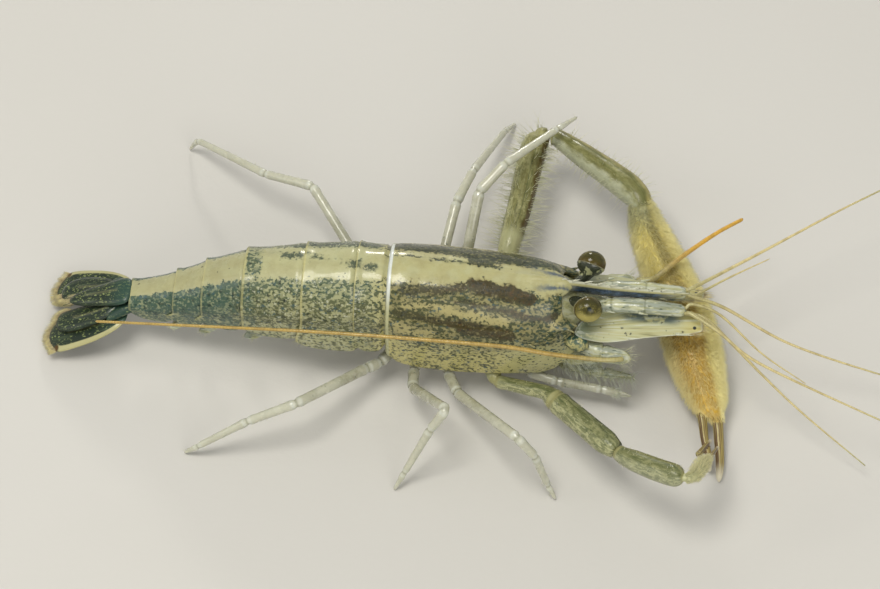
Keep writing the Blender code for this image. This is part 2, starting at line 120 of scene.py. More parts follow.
SECOND_ARM = ((3.6, -2.6, 2.9, 0.75), (4.8, -4.9, 2.6, 0.62), (9.6, -7.0, 4.6, 0.7),
              (10.6, -8.1, 4.9, 1.08), (15.4, -13.2, 6.63, 1.16), (16.0, -13.8, 6.83, 0.92),
              (16.5, -14.3, 7.0, 0.72))
SECOND_WRIST = ((16.54, -14.34, 7.014, 0.72), (16.95, -14.75, 7.15, 0.8), (18.0, -15.5, 7.65, 0.98),
                (20.0, -16.7, 8.4, 1.05), (21.7, -17.6, 9.1, 1.05), (22.1, -17.8, 9.3, 0.85),
                (22.6, -17.92, 9.42, 0.45))
# Claws: x, y, z and half width of the palm, which runs out into the fixed finger, and of the moving finger
BIG_PALM = ((16.7, 13.8, 8.05, 0.75), (17.0, 12.9, 7.9, 1.22), (17.3, 12.1, 7.7, 1.6),
            (17.9, 10.4, 7.2, 2.05), (18.9, 8.4, 6.6, 2.35), (20.2, 5.7, 5.8, 2.65), (21.5, 3.0, 5.0, 2.85),
            (22.6, 0.2, 4.2, 2.9), (23.5, -2.5, 3.4, 2.65), (24.3, -4.7, 2.8, 2.15),
            (24.8, -5.9, 2.4, 1.55), (25.5, -7.0, 2.0, 0.6), (25.8, -9.0, 1.3, 0.46),
            (26.0, -11.0, 0.8, 0.4), (26.0, -12.6, 0.28, 0.28))
BIG_THUMB = ((23.95, -6.62, 2.35, 0.42), (24.2, -7.5, 2.1, 0.42), (24.4, -9.0, 1.8, 0.38),
             (24.9, -10.6, 1.3, 0.32), (25.1, -11.9, 0.7, 0.2))
SECOND_PALM = ((22.3, -17.88, 9.38, 0.6), (22.9, -17.95, 9.5, 0.6), (23.35, -17.5, 9.2, 0.72),
               (23.65, -16.8, 8.7, 0.8), (24.1, -15.4, 7.8, 0.8), (24.5, -14.5, 7.1, 0.58),
               (24.9, -13.6, 6.4, 0.32), (25.6, -11.3, 4.3, 0.18))
SECOND_THUMB = ((23.8, -13.6, 6.5, 0.32), (24.2, -12.5, 5.7, 0.26), (24.9, -10.7, 4.4, 0.16))
PALM_DEPTH = 0.75               # thickness of a palm as a share of its width
ANTENNA_STALK = ((12.2, 2.9, 7.2, 0.8), (14.4, 3.9, 7.2, 0.82), (17.1, 4.4, 7.3, 0.68))
ANTENNULE_STALK = ((11.9, 1.0, 9.6, 0.52), (13.3, 1.0, 10.15, 0.62), (15.0, 0.94, 10.85, 0.75),
                   (18.0, 0.94, 11.02, 0.74), (21.8, 1.0, 10.78, 0.6))
MAXILLIPED = ((8.4, 1.6, 3.4, 0.5), (11.5, 2.9, 3.3, 0.55), (14.6, 3.7, 3.6, 0.52), (17.4, 3.9, 3.5, 0.2))
# Feelers: radius at the root, radius at the tip, and the points that they pass
FEELERS = {
    "antenna_left": (0.3, 0.17, (
        (17.2, 4.4, 7.3), (18.6, 4.3, 7.8), (19.4, 4.7, 8.4), (21.2, 6.5, 8.7), (24.2, 9.1, 9.1),
        (26.7, 10.9, 9.3))),
    "antenna_right": (0.24, 0.12, (
        (16.3, -4.7, 7.7), (15.7, -5.0, 7.95), (14.6, -5.25, 8.15), (13.2, -5.4, 8.4), (9.7, -5.8, 9.3),
        (5.1, -6.0, 10.3), (-5.0, -6.0, 10.5), (-13.3, -5.6, 9.8), (-22.8, -4.9, 8.3), (-32.7, -4.3, 6.9))),
    "antennule_outer_left": (0.2, 0.06, (
        (21.7, 1.3, 10.85), (22.4, 1.55, 11.05), (28.4, 6.2, 10.7), (36.0, 11.2, 11.8),
        (44.0, 16.2, 12.6))),
    "antennule_middle_left": (0.17, 0.05, (
        (21.7, 1.0, 10.6), (22.4, 1.0, 10.4), (25.4, 3.4, 10.1), (29.3, 6.2, 9.8))),
    "antennule_inner_left": (0.19, 0.06, (
        (21.7, 0.8, 10.85), (22.4, 0.4, 11.1), (25.4, 0.3, 9.8), (31.7, -1.0, 6.6), (40.3, -2.0, 4.1),
        (45.5, -2.4, 3.0))),
    "antennule_outer_right": (0.19, 0.06, (
        (21.7, -1.3, 10.85), (22.4, -1.55, 11.05), (25.0, -3.0, 10.6), (29.0, -5.2, 9.2), (40.2, -8.9, 7.0),
        (45.0, -10.4, 6.2))),
    "antennule_middle_right": (0.17, 0.05, (
        (21.7, -0.8, 10.85), (22.4, -0.4, 11.1), (25.0, -1.0, 10.5), (29.0, -3.6, 8.6), (33.2, -5.7, 7.3))),
    "antennule_inner_right": (0.19, 0.06, (
        (21.7, -1.0, 10.6), (22.4, -1.0, 10.4), (24.2, -1.7, 10.1), (29.2, -4.6, 6.6), (33.2, -7.0, 4.3),
        (39.3, -10.7, 1.9))),
}
# Swimming legs: x and z of the root, z of the foot, size
PLEOPODS = ((-7.2, 4.8, 3.2, 1.0), (-11.0, 4.9, 3.0, 1.0), (-16.0, 5.0, 3.1, 0.95),
            (-20.8, 4.9, 3.3, 0.8), (-24.3, 4.4, 3.3, 0.6))
# Flat blades: along the piece, across it from the midline outwards
TELSON = ((0.0, -1.25), (0.0, 1.25), (3.2, 1.1), (5.6, 0.62), (6.3, 0.0), (5.6, -0.62), (3.2, -1.1))
ENDOPOD = ((0.5, 0.5), (0.7, 1.3), (2.6, 2.4), (5.2, 3.0), (7.0, 2.8), (7.9, 2.0), (7.6, 1.1),
           (5.6, 0.7), (3.0, 0.5))
EXOPOD = ((0.3, 1.0), (0.3, 2.5), (2.8, 3.9), (7.0, 4.6), (8.3, 4.0), (9.0, 2.7), (8.6, 1.6),
          (6.4, 1.2), (3.0, 1.0))
SCALE = ((0.0, 2.9), (0.4, 3.7), (2.9, 4.0), (6.5, 3.3), (11.1, 2.5), (11.7, 1.9), (11.2, 1.1),
         (8.5, 0.6), (4.5, 0.7), (1.4, 1.5))
LEAF = ((0.0, -0.22), (0.0, 0.22), (0.9, 0.52), (2.0, 0.5), (2.7, 0.0), (2.0, -0.5), (0.9, -0.52))
TAIL_ROOT = (-30.3, 0.0, 6.0)
TAIL_PITCH = math.radians(23.0)
BLADE_STEP = 0.8 / math.cos(TAIL_PITCH)     # drop from one tail blade to the next
SCALE_ROOT = (11.8, 0.0, 10.15)
SCALE_ROLL = math.radians(20.0)
# Rostrum: x, upper edge, lower edge, half thickness
ROSTRUM = ((8.6, 12.75, 12.0, 0.3), (10.5, 12.95, 11.3, 0.42), (12.2, 12.85, 10.95, 0.36),
           (13.8, 12.65, 10.8, 0.34), (17.5, 12.4, 10.95, 0.33), (20.3, 12.3, 11.3, 0.25),
           (22.0, 12.25, 12.05, 0.06))
EYE = (1.32, 1.15, 1.28)        # half sizes of the eye's globe
EYE_PLACE = (12.85, 2.55, 12.2)
EYESTALK_ROOT = (11.5, 0.9, 10.9)
NO_JOINT = 9.0                  # the distance that stands for no joint nearby
WRIST_START = 40.0              # added to the way along a wrist, so that its finish knows it from an arm


# ---------------------------------------------------------------- sizes and colours
def colour_property(label, colour, note):
    """A colour that the user can change."""
    return bpy.props.FloatVectorProperty(name=label, description=note, subtype="COLOR", size=3, min=0.0,
                                         max=1.0, default=colour)


def length_property(label, millimetres, note):
    """A length that the user can change, shown in the scene's units."""
    return bpy.props.FloatProperty(name=label, description=note, subtype="DISTANCE", unit="LENGTH",
                                   min=0.0, default=millimetres * MM, precision=5)


class PrawnColours(bpy.types.PropertyGroup):
    """Colours of the animal and of its stage."""
    cream: colour_property("Cream", (0.43, 0.41, 0.2), "Ground colour of the back")
    tan: colour_property("Tan", (0.2, 0.155, 0.07), "Ground of the sides under the streaks")
    flank: colour_property("Flank", (0.45, 0.42, 0.19), "Ground colour of the sides")
    clear: colour_property("Clear shell", (0.47, 0.49, 0.3), "Thin shell with little pigment")
    olive: colour_property("Olive", (0.082, 0.098, 0.034), "Pigment of the sides")
    blue: colour_property("Blue green", (0.032, 0.09, 0.068), "Pigment towards the tail")
    ink: colour_property("Ink", (0.012, 0.018, 0.014), "Smallest pigment spots")
    brown: colour_property("Brown", (0.082, 0.042, 0.005), "Streaks on the carapace")
    rim: colour_property("Rim", (0.66, 0.7, 0.66), "Shining rear edge of the carapace")
    slate: colour_property("Slate", (0.045, 0.08, 0.14), "Sides of the rostrum")
    fan: colour_property("Fan", (0.014, 0.026, 0.015), "Tail blades")
    fan_dots: colour_property("Fan dots", (0.27, 0.32, 0.11), "Fine spots on the tail blades")
    fringe: colour_property("Fringe", (0.46, 0.38, 0.22), "Hairs round the tail blades")
    leg: colour_property("Leg", (0.55, 0.55, 0.44), "Walking legs")
    arm: colour_property("Arm", (0.15, 0.15, 0.036), "Mottled arms")
    green: colour_property("Dark green", (0.036, 0.07, 0.022), "Stripes and spots of the arms")
    amber: colour_property("Amber", (0.6, 0.385, 0.032), "Skin under the velvet")
    straw: colour_property("Straw", (0.77, 0.67, 0.2), "Velvet near the wrist")
    down: colour_property("Down", (1.0, 0.93, 0.5), "Tips of the velvet")
    finger: colour_property("Finger", (0.1, 0.05, 0.018), "Bare fingers of the big claw")
    gold: colour_property("Gold", (0.48, 0.335, 0.085), "Antennae")
    orange: colour_property("Orange", (0.66, 0.38, 0.045), "Far part of the left antenna")
    whip: colour_property("Whip", (0.66, 0.56, 0.27), "Antennules")
    bronze: colour_property("Bronze", (0.098, 0.082, 0.01), "Globe of the eye")
    bristle: colour_property("Bristle", (0.84, 0.81, 0.62), "Fine bristles")
    floor: colour_property("Floor", (0.62, 0.61, 0.58), "Floor of the stage")


class PrawnSizes(bpy.types.PropertyGroup):
    """Sizes and counts of the details."""
    velvet: length_property("Velvet", 0.95, "Length of the big claw's velvet")
    velvet_count: bpy.props.IntProperty(name="Velvet hairs", min=100, max=22000, default=20000,
                                        description="Number of hairs on the big claw")
    bristle: length_property("Bristle", 2.7, "Length of the longest bristles on the big arm")
    fringe: length_property("Fringe", 0.95, "Length of the hairs round the tail blades")
    hair: length_property("Hair thickness", 0.028, "Radius of a velvet hair at its root")
    ripple: length_property("Ripple", 0.035, "Height of the shell's slow unevenness")
    hoops: bpy.props.IntProperty(name="Points round the body", min=24, max=240, default=144,
                                 description="Mesh points round one section of the body")


# ---------------------------------------------------------------- meshes
class Skin:
    """Gathers points, faces and their courses, in millimetres, for one mesh.

    A course is three numbers that the finish reads at a point, such as how far it lies along the
    piece and round it. near is the distance to the closest joint.
    """

    def __init__(self):
        self.points, self.courses, self.near, self.faces = [], [], [], []

    def add(self, points, courses, near=NO_JOINT):
        """Add points, and return the number of the first."""
        first = len(self.points)
        self.points.extend(np.asarray(points, float).tolist())
        self.courses.extend(np.asarray(courses, float).tolist())
        self.near.extend(np.broadcast_to(near, len(points)).tolist())
        return first

    def rings(self, rows, courses, near=None):
        """Add a skin through closed rings that all have the same count of points, with both ends shut."""
        count = len(rows[0])
        near = [NO_JOINT] * len(rows) if near is None else near
        starts = [self.add(*values) for values in zip(rows, courses, near)]
        for a, b in zip(starts, starts[1:]):
            for k in range(count):
                m = (k + 1) % count
                self.faces.append((a + k, a + m, b + m, b + k))
        self.faces.append(tuple(range(starts[0], starts[0] + count))[::-1])
        self.faces.append(tuple(range(starts[-1], starts[-1] + count)))
        return self


def to_mesh(name, points, faces):
    """A mesh in metres in the row's frame, from points in millimetres in the animal's."""
    mesh = bpy.data.meshes.new(name)
    placed = (np.asarray(points, float) + np.array(SHIFT)) * MM
    mesh.from_pydata(placed.tolist(), [], faces)
    mesh.validate()
    return mesh


def add_number(mesh, name, values, kind="FLOAT_VECTOR"):
    """Store numbers on the mesh's points for its finish."""
    layer = mesh.attributes.new(name, kind, "POINT")
    key = "vector" if kind == "FLOAT_VECTOR" else "value"
    layer.data.foreach_set(key, np.asarray(values, np.float32).ravel())


def show(name, mesh, finish, slot, *nodes):
    """Put a mesh with a finish on the animal, in place of the solids that it stands for."""
    mesh.materials.append(finish_of(finish))
    mesh.shade_smooth()
    piece = bpy.data.objects.new(name, mesh)
    bpy.context.scene.collection.objects.link(piece)
    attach(piece, BODY)
    if nodes:
        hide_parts(*nodes)


def dress(name, skin, finish, slot, *nodes):
    """Make a piece of a skin."""
    mesh = to_mesh(name, skin.points, skin.faces)
    add_number(mesh, "course", skin.courses)
    add_number(mesh, "near", skin.near, "FLOAT")
    turned = bmesh.new()
    turned.from_mesh(mesh)
    bmesh.ops.recalc_face_normals(turned, faces=turned.faces)
    turned.to_mesh(mesh)
    turned.free()
    show(name, mesh, finish, slot, *nodes)


def seeded(number):
    """Random numbers that are the same on each run."""
    return np.random.default_rng(number)


def smoothstep(value, low, high):
    """0 below low, 1 above high, and a smooth rise between."""
    share = np.clip((np.asarray(value, float) - low) / (high - low), 0.0, 1.0)
    return share * share * (3.0 - 2.0 * share)


def bump_at(value, centre, width):
    """A smooth hill of height 1."""
    return np.exp(-((np.asarray(value, float) - centre) / width) ** 2)


def unit(vectors):
    """Vectors of length 1."""
    vectors = np.asarray(vectors, float)
    return vectors / np.maximum(np.linalg.norm(vectors, axis=-1, keepdims=True), 1e-9)


def columns(*parts):
    """Numbers and rows of numbers side by side, with a line for each point."""
    return np.column_stack(np.broadcast_arrays(*parts))


def turns(count):
    """Angles that share out a full turn."""
    return np.arange(count) / count * math.tau


def outward(across, upward, angle, depth=1.0):
    """Directions at an angle round a line, from its sideways and upward axes."""
    return across * np.cos(angle) + upward * np.sin(angle) * depth


def axes_along(points):
    """The way that a line runs at each of its points, and its sideways and upward axes there."""
    course = unit(np.gradient(points[:, :3], axis=0))
    across = unit(np.cross(course, UP if abs(course[0, 2]) < STEEP else AHEAD))
    return course, across, np.cross(across, course)


def spline(points, step):
    """A smooth line through points, with a point every step; any columns beyond the third go with it."""
    points = np.asarray(points, float)
    padded = np.vstack((2 * points[0] - points[1], points, 2 * points[-1] - points[-2]))
    line = []
    for a, b, c, d in zip(padded, padded[1:], padded[2:], padded[3:]):
        count = max(2, int(round(np.linalg.norm((c - b)[:3]) / step)))
        for t in np.arange(count) / count:
            line.append(0.5 * (2 * b + (c - a) * t + (2 * a - 5 * b + 4 * c - d) * t * t
                               + (3 * b - a - 3 * c + d) * t ** 3))
    line.append(points[-1])
    return np.array(line)


def table_at(table, x):
    """A table's row at x, on a smooth curve through its rows."""
    rows = np.asarray(sorted(table), float)
    at = rows[:, 0]
    k = int(np.clip(np.searchsorted(at, x) - 1, 0, len(rows) - 2))
    slopes = np.gradient(rows[:, 1:], at, axis=0)
    width = at[k + 1] - at[k]
    t = (x - at[k]) / width
    low, high = rows[k, 1:], rows[k + 1, 1:]
    return ((2 * t ** 3 - 3 * t * t + 1) * low + (t ** 3 - 2 * t * t + t) * width * slopes[k]
            + (3 * t * t - 2 * t ** 3) * high + (t ** 3 - t * t) * width * slopes[k + 1])


def mirrored(joints, sign):
    """Joints of a limb on the other side of the body."""
    return [(joint[0], sign * joint[1], *joint[2:]) for joint in joints]


# ---------------------------------------------------------------- body sections
UNDERSIDE = 1.3                 # girth at the middle of the underside; 0 is the back, 1 the margin
DOME = 0.55                     # girth at which the domed back ends


def girths(count):
    """Girths round a section, from the underside over the right side and back to the underside."""
    return -UNDERSIDE + 2 * UNDERSIDE * (np.arange(count) + 0.5) / count


def body_section(x, top, low, half, lean, girth):
    """Points of one section of the body. Girth is negative on the right side."""
    height = top - low
    waist = low + 0.45 * height
    t = np.abs(girth)
    angle = np.clip(t / DOME, 0, 1) * math.pi / 2
    flank = np.clip((t - DOME) / (1 - DOME), 0, 1)
    under = np.clip((t - 1) / (UNDERSIDE - 1), 0, 1)
    across = half * np.sin(angle) * (1 - 0.04 * flank ** 2) * (1 - under)
    z = waist + (top - waist) * np.cos(angle) - (waist - low) * flank
    z = z + 0.12 * height * smoothstep(under, 0.05, 0.5)
    return np.stack((x + lean * (top - z) / height, np.sign(girth) * across, z), axis=1)


def swollen(ring, amount, back=0.0):
    """A ring grown about its own middle, in its own plane, and moved back."""
    middle = ring.mean(0)
    return middle + (ring - middle) * np.array((1.0, amount, amount)) - AHEAD * back


RIPPLE_SEED = 7                 # with a seed of its own, the ripple is the same on each run
HAIR_PATCH = 0.003              # size of one hair in the bake's map
HAIR_TAPER = 0.55               # a hair's thickness half way up, as a share of that at its root


def rippled(skin, height, scale=0.45):
    """Move a skin's points by slow, small waves, so that the shell isn't machine-smooth."""
    noise.seed_set(RIPPLE_SEED)
    for point in skin.points:
        wave = noise.noise_vector(Vector(point) * scale)
        for axis in range(3):
            point[axis] += wave[axis] * height / MM


# ---------------------------------------------------------------- limbs and blades
Limb = namedtuple("Limb", "points along radii")
Blade = namedtuple("Blade", "edge middle")
LIMB_STEP = 0.22                # distance between the rings of a limb
BEND_REACH = 0.5                # how far from a joint its bend begins
PINCH_WIDTH = 0.16              # half width of the narrow place at a joint
SWELL_PLACE = 0.5               # distance of the swelling from its joint
SWELL_WIDTH = 0.3
EDGE_STEP = 0.22                # distance between the points of a blade's outline
MIDDLE_START = 0.22             # where a blade's middle line starts, as a share of its length
MIDDLE_END = 0.3                # how far before the tip it ends
HAIR_DEPTH = 0.12               # how deep a fringe's hairs are rooted in a blade


def limb_line(joints):
    """Points along a jointed limb with rounded bends, as x, y, z and radius, and how far along each is."""
    joints = np.asarray(joints, float)
    points = [joints[0]]

    def straight_to(end):
        """Add evenly spaced points up to a place."""
        base = points[-1]
        count = max(1, int(np.linalg.norm((end - base)[:3]) / LIMB_STEP))
        points.extend((1 - t) * base + t * end for t in np.arange(1, count + 1) / count)

    for before, here, after in zip(joints, joints[1:], joints[2:]):
        ends = []
        for other in (before, after):
            length = np.linalg.norm((other - here)[:3])
            ends.append(here + (other - here) * min(BEND_REACH / length, 0.4))
        straight_to(ends[0])
        for t in (0.25, 0.5, 0.75, 1.0):
            points.append((1 - t) ** 2 * ends[0] + 2 * t * (1 - t) * here + t * t * ends[1])
    straight_to(joints[-1])
    points = np.array(points)
    return points, distance_along(points)


def distance_along(points):
    """How far along a line each of its points is."""
    steps = np.linalg.norm(np.diff(points[:, :3], axis=0), axis=1)
    return np.concatenate(((0.0,), np.cumsum(steps)))


def hoops(points, radii, sides, marks, depth=1.0):
    """Rings square to a line, and their courses: the mark of the ring, and the cosine and sine round it."""
    _, across, upward = axes_along(points)
    angle = turns(sides)
    depths = np.broadcast_to(depth, len(points))[:, None, None]
    out = outward(across[:, None], upward[:, None], angle[:, None], depths)
    rows = points[:, None, :3] + out * np.asarray(radii)[:, None, None]
    return rows, [columns(mark, np.cos(angle), np.sin(angle)) for mark in marks]


def add_limb(skin, joints, sides=20, breaks=None, pinch=0.22, swell=0.07, depth=1.0, round_end=1.0):
    """A jointed limb: narrow at its joints, a little swollen beside them, with a rounded end."""
    points, along = limb_line(joints)
    joints = np.asarray(joints, float)
    numbers = range(1, len(joints) - 1) if breaks is None else breaks
    places = [along[np.argmin(np.linalg.norm(points[:, :3] - joints[k, :3], axis=1))] for k in numbers]
    gaps = [np.abs(along - place) for place in places]
    near = np.min(gaps, axis=0) if gaps else np.full(len(points), NO_JOINT)
    inwards = 1 - np.clip((along[-1] - along) / (points[-1, 3] * round_end), 0, 1)
    hills = swell * bump_at(near, SWELL_PLACE, SWELL_WIDTH)
    radii = points[:, 3] * (1 - pinch * bump_at(near, 0, PINCH_WIDTH) + hills)
    radii = radii * np.sqrt(np.clip(1 - inwards ** 2, 0.02, 1))
    skin.rings(*hoops(points, radii, sides, along, depth), near)
    return Limb(points, along, radii)


def lens_blade(skin, outline, place, thick, crown, ridge=0.0, rings=9):
    """A blade with a smooth outline, thickest along its middle line, under a placing matrix."""
    closed = np.asarray(outline + outline[:3], float)
    line = spline(columns(closed[:, 0], closed[:, 1], 0.0, np.arange(len(closed))), EDGE_STEP)
    edge = line[(line[:, 3] >= 1) & (line[:, 3] < len(outline) + 1), :2]
    low, high = edge[:, 0].min(), edge[:, 0].max()
    middle = columns(np.clip(edge[:, 0], low + MIDDLE_START * (high - low), high - MIDDLE_END * (high - low)),
                     0.0)
    for k, (along, _) in enumerate(middle):
        beside = edge[np.abs(edge[:, 0] - along) < 0.35, 1]
        middle[k, 1] = (beside.min() + beside.max()) / 2
    rows, courses = [], []
    shares = [*np.linspace(0.03, 0.97, rings)]
    for top, order in ((1.0, [*shares, 1.0]), (-1.0, shares[::-1])):
        for share in order:
            flat = middle + (edge - middle) * share
            lift = top * thick / 2 * max(1 - share ** 4, 0.0) ** 0.5
            rise = crown * (1 - share ** 2) + ridge * bump_at(share, 0, 0.12) * (top > 0)
            rows.append([list(place @ Vector((*point, rise + lift))) for point in flat])
            courses.append(columns(*flat.T, share))
    skin.rings(rows, courses)
    return Blade(edge, middle)


def grow_hairs(name, roots, directions, lengths, marks, finish, slot, radius, sweep=0.0, spread=None):
    """Hairs as joined three-sided spikes with a bend. Each has its own patch in the bake's map."""
    directions = unit(directions)
    lengths = lengths[:, None]
    count = len(roots)
    first = unit(np.cross(directions, np.where(np.abs(directions[:, 2:]) > STEEP, AHEAD, UP)))
    second = np.cross(directions, first)
    bend = sweep * lengths
    points = np.empty((count, 7, 3))
    for k, angle in enumerate(turns(3)):
        out = outward(first, second, angle) * radius
        points[:, k] = roots + out
        points[:, 3 + k] = roots + directions * lengths * 0.5 + bend * 0.25 + out * HAIR_TAPER
    points[:, 6] = roots + directions * lengths + bend
    quads = [(k, (k + 1) % 3, 3 + (k + 1) % 3, 3 + k) for k in range(3)]
    tips = [(3 + k, 3 + (k + 1) % 3, 6) for k in range(3)]
    bases = np.arange(count)[:, None, None] * 7
    faces = [face for kind in (quads, tips)
             for face in (np.array(kind)[None] + bases).reshape(-1, len(kind[0])).tolist()]
    mesh = to_mesh(name, points.reshape(-1, 3), faces)
    shares = np.tile((0, 0, 0, 0.5, 0.5, 0.5, 1.0), count)
    add_number(mesh, "course", np.column_stack((np.repeat(marks, 7, axis=0), shares)))
    add_number(mesh, "near", np.full(count * 7, NO_JOINT), "FLOAT")
    patch_map(mesh, marks if spread is None else spread)
    show(name, mesh, finish, slot)


def patch_map(mesh, places):
    """Give each hair a small patch of the bake's map at its root's place on the skin."""
    low, high = places.min(0), places.max(0)
    places = 0.01 + 0.975 * (places - low) / np.maximum(high - low, 1e-9)
    layer = mesh.uv_layers.new(name="OFBake")
    patches = []
    for corners in (((0, 0), (1, 0), (1, 1), (0, 1)), ((0, 1), (1, 1), (0.5, 2))):
        patch = np.array([((k + i) / 3, j / 2) for k in range(3) for i, j in corners])
        patches.append((patch * HAIR_PATCH + places[:, None]).reshape(-1))
    layer.data.foreach_set("uv", np.concatenate(patches).astype(np.float32))


# ---------------------------------------------------------------- nodes
def operation(name, swapped=False):
    """A method of Value that adds one math node."""
    if swapped:
        return lambda self, other: self.nodes.math(name, other, self)
    return lambda self, *others: self.nodes.math(name, self, *others)


class Value:
    """What a node puts out. Reckoning with it adds math nodes to its tree."""

    def __init__(self, nodes, socket):
        self.nodes, self.socket = nodes, socket

    __add__ = __radd__ = operation("ADD")
    __mul__ = __rmul__ = operation("MULTIPLY")
    __sub__ = operation("SUBTRACT")
    __rsub__ = operation("SUBTRACT", swapped=True)
    __truediv__ = operation("DIVIDE")
    __rtruediv__ = operation("DIVIDE", swapped=True)
    __lt__ = operation("LESS_THAN")
    __gt__ = operation("GREATER_THAN")
    __abs__ = operation("ABSOLUTE")
    larger = operation("MAXIMUM")

    def less(self, other):
        """This minus another value, held between 0 and 1."""
        return self.nodes.math("SUBTRACT", self, other, clamp=True)

    def rise(self, low, high, start=0.0, end=1.0):
        """A smooth change from start to end while this goes from low to high."""
        inputs = dict(enumerate((self, low, high, start, end)))
        return self.nodes.out("ShaderNodeMapRange", inputs, interpolation_type="SMOOTHSTEP")


class Nodes:
    """Adds nodes to one tree."""

    def __init__(self, tree):
        self.tree = tree

    def add(self, kind, inputs=(), **settings):
        """A new node with its settings and with values or links in its inputs."""
        node = self.tree.nodes.new(kind)
        for key, value in settings.items():
            setattr(node, key, value)
        for key, value in dict(inputs).items():
            self.feed(node.inputs[key], value)
        return node

    def out(self, kind, inputs=(), output=0, **settings):
        """What a new node puts out."""
        return Value(self, self.add(kind, inputs, **settings).outputs[output])

    def feed(self, socket, value):
        """Link a value to an input, or set it."""
        if isinstance(value, Value):
            self.tree.links.new(value.socket, socket)
        elif socket.type == "RGBA":
            socket.default_value = (*value[:3], 1.0)
        else:
            socket.default_value = value

    def math(self, kind, *values, clamp=False):
        """A math node's result."""
        return self.out("ShaderNodeMath", dict(enumerate(values)), operation=kind, use_clamp=clamp)

    def vector(self, kind, *values, output=0):
        """A vector math node's result."""
        return self.out("ShaderNodeVectorMath", dict(enumerate(values)), output, operation=kind)

    def scaled(self, vector, factor):
        """A vector made longer or shorter."""
        return self.out("ShaderNodeVectorMath", {0: vector, "Scale": factor}, operation="SCALE")

    def mix(self, share, first, second):
        """A colour, share of the way from the first to the second."""
        inputs = {0: share, 6: tone(first), 7: tone(second)}
        return self.out("ShaderNodeMix", inputs, 2, data_type="RGBA")

    def noise(self, place, scale, detail=2.0, roughness=0.5, output=0):
        """Cloudy noise, as a value, or with output 1 as a vector."""
        inputs = {"Vector": place, "Scale": scale, "Detail": detail, "Roughness": roughness}
        return self.out("ShaderNodeTexNoise", inputs, output)

    def cells(self, place, scale):
        """The outputs of a cell pattern."""
        return self.add("ShaderNodeTexVoronoi", {"Vector": place, "Scale": scale}).outputs

    def split(self, vector):
        """The three numbers of a vector."""
        parts = self.add("ShaderNodeSeparateXYZ", {0: vector}).outputs
        return [Value(self, part) for part in parts]

    def join(self, *parts):
        """A vector of three numbers."""
        return self.out("ShaderNodeCombineXYZ", dict(enumerate(parts)))

    def effect(self, name, inputs, output="Mask"):
        """A shared effect with its own values. Its group is made the first time that it is asked for."""
        if name not in EFFECTS:
            EFFECTS[name] = EFFECT_MAKERS[name]()
        return self.out("ShaderNodeGroup", inputs, output, node_tree=EFFECTS[name])

    def band(self, value, start, end, softness):
        """1 where a value lies between start and end."""
        return self.effect("band", {"Value": value, "From": start, "To": end, "Softness": softness})

    def mottles(self, place, size, cover, softness, kind="mottling"):
        """Clouds of pigment, or with kind labyrinth, fine winding lines."""
        return self.effect(kind, {"Place": place, "Size": size, "Cover": cover, "Softness": softness})

    def specks(self, place, spacing, cover, size, ragged):
        """Scattered spots."""
        return self.effect("speckles", {"Place": place, "Spacing": spacing, "Cover": cover, "Size": size,
                                        "Ragged": ragged})


def effect_group(name, inputs, outputs):
    """A new shader node group: its tree, its nodes, the values that come in, and the inputs of its end."""
    tree = bpy.data.node_groups.new(name, "ShaderNodeTree")
    for label, value in inputs.items():
        kind = "NodeSocketVector" if value is None else "NodeSocketFloat"
        socket = tree.interface.new_socket(name=label, in_out="INPUT", socket_type=kind)
        if value is not None:
            socket.default_value = value
    for label in outputs:
        tree.interface.new_socket(name=label, in_out="OUTPUT", socket_type="NodeSocketFloat")
    nodes = Nodes(tree)
    given = [Value(nodes, socket) for socket in nodes.add("NodeGroupInput").outputs[:len(inputs)]]
    return tree, nodes, given, nodes.add("NodeGroupOutput").inputs


def speckle_group():
    """Scattered pigment spots with ragged edges. Tint differs from spot to spot."""
    tree, nodes, (place, spacing, cover, size, ragged), result = effect_group(
        "Speckles", {"Place": None, "Spacing": 0.4, "Cover": 0.5, "Size": 0.34, "Ragged": 0.5},
        ("Mask", "Tint"))
    spread = nodes.scaled(place, 1.0 / spacing)
    shake = nodes.vector("SUBTRACT", nodes.noise(spread, 1.9, 2.0, 0.6, output=1), (0.5, 0.5, 0.5))
    cells = nodes.cells(nodes.vector("ADD", spread, nodes.scaled(shake, ragged)), 1.0)
    chance = nodes.split(Value(nodes, cells["Color"]))
    edge = size * chance[1].rise(0.0, 1.0, 0.55, 1.25) - Value(nodes, cells["Distance"])
    nodes.feed(result["Mask"], edge.rise(-0.07, 0.1) * (chance[0] < cover))
    nodes.feed(result["Tint"], chance[2])
    return tree


def mottle_group():
    """Soft clouds of pigment that cover a given share of the surface."""
    tree, nodes, (place, size, cover, softness), result = effect_group(
        "Mottling", {"Place": None, "Size": 1.5, "Cover": 0.5, "Softness": 0.1}, ("Mask",))
    level = (1.0 - cover).rise(0.0, 1.0, 0.28, 0.72)
    cloud = nodes.noise(place, 1.0 / size, 4.0, 0.62)
    nodes.feed(result["Mask"], cloud.rise(level - softness, level + softness))
    return tree


def labyrinth_group():
    """Fine winding lines and dots of pigment that cover a given share of the surface."""
    tree, nodes, (place, size, cover, softness), result = effect_group(
        "Labyrinth", {"Place": None, "Size": 0.3, "Cover": 0.5, "Softness": 0.1}, ("Mask",))
    level = cover.rise(0.0, 1.0, 0.66, 0.34)
    cloud = nodes.noise(place, 1.0 / size, 1.0, 0.4)
    nodes.feed(result["Mask"], cloud.rise(level - softness, level + softness))
    return tree


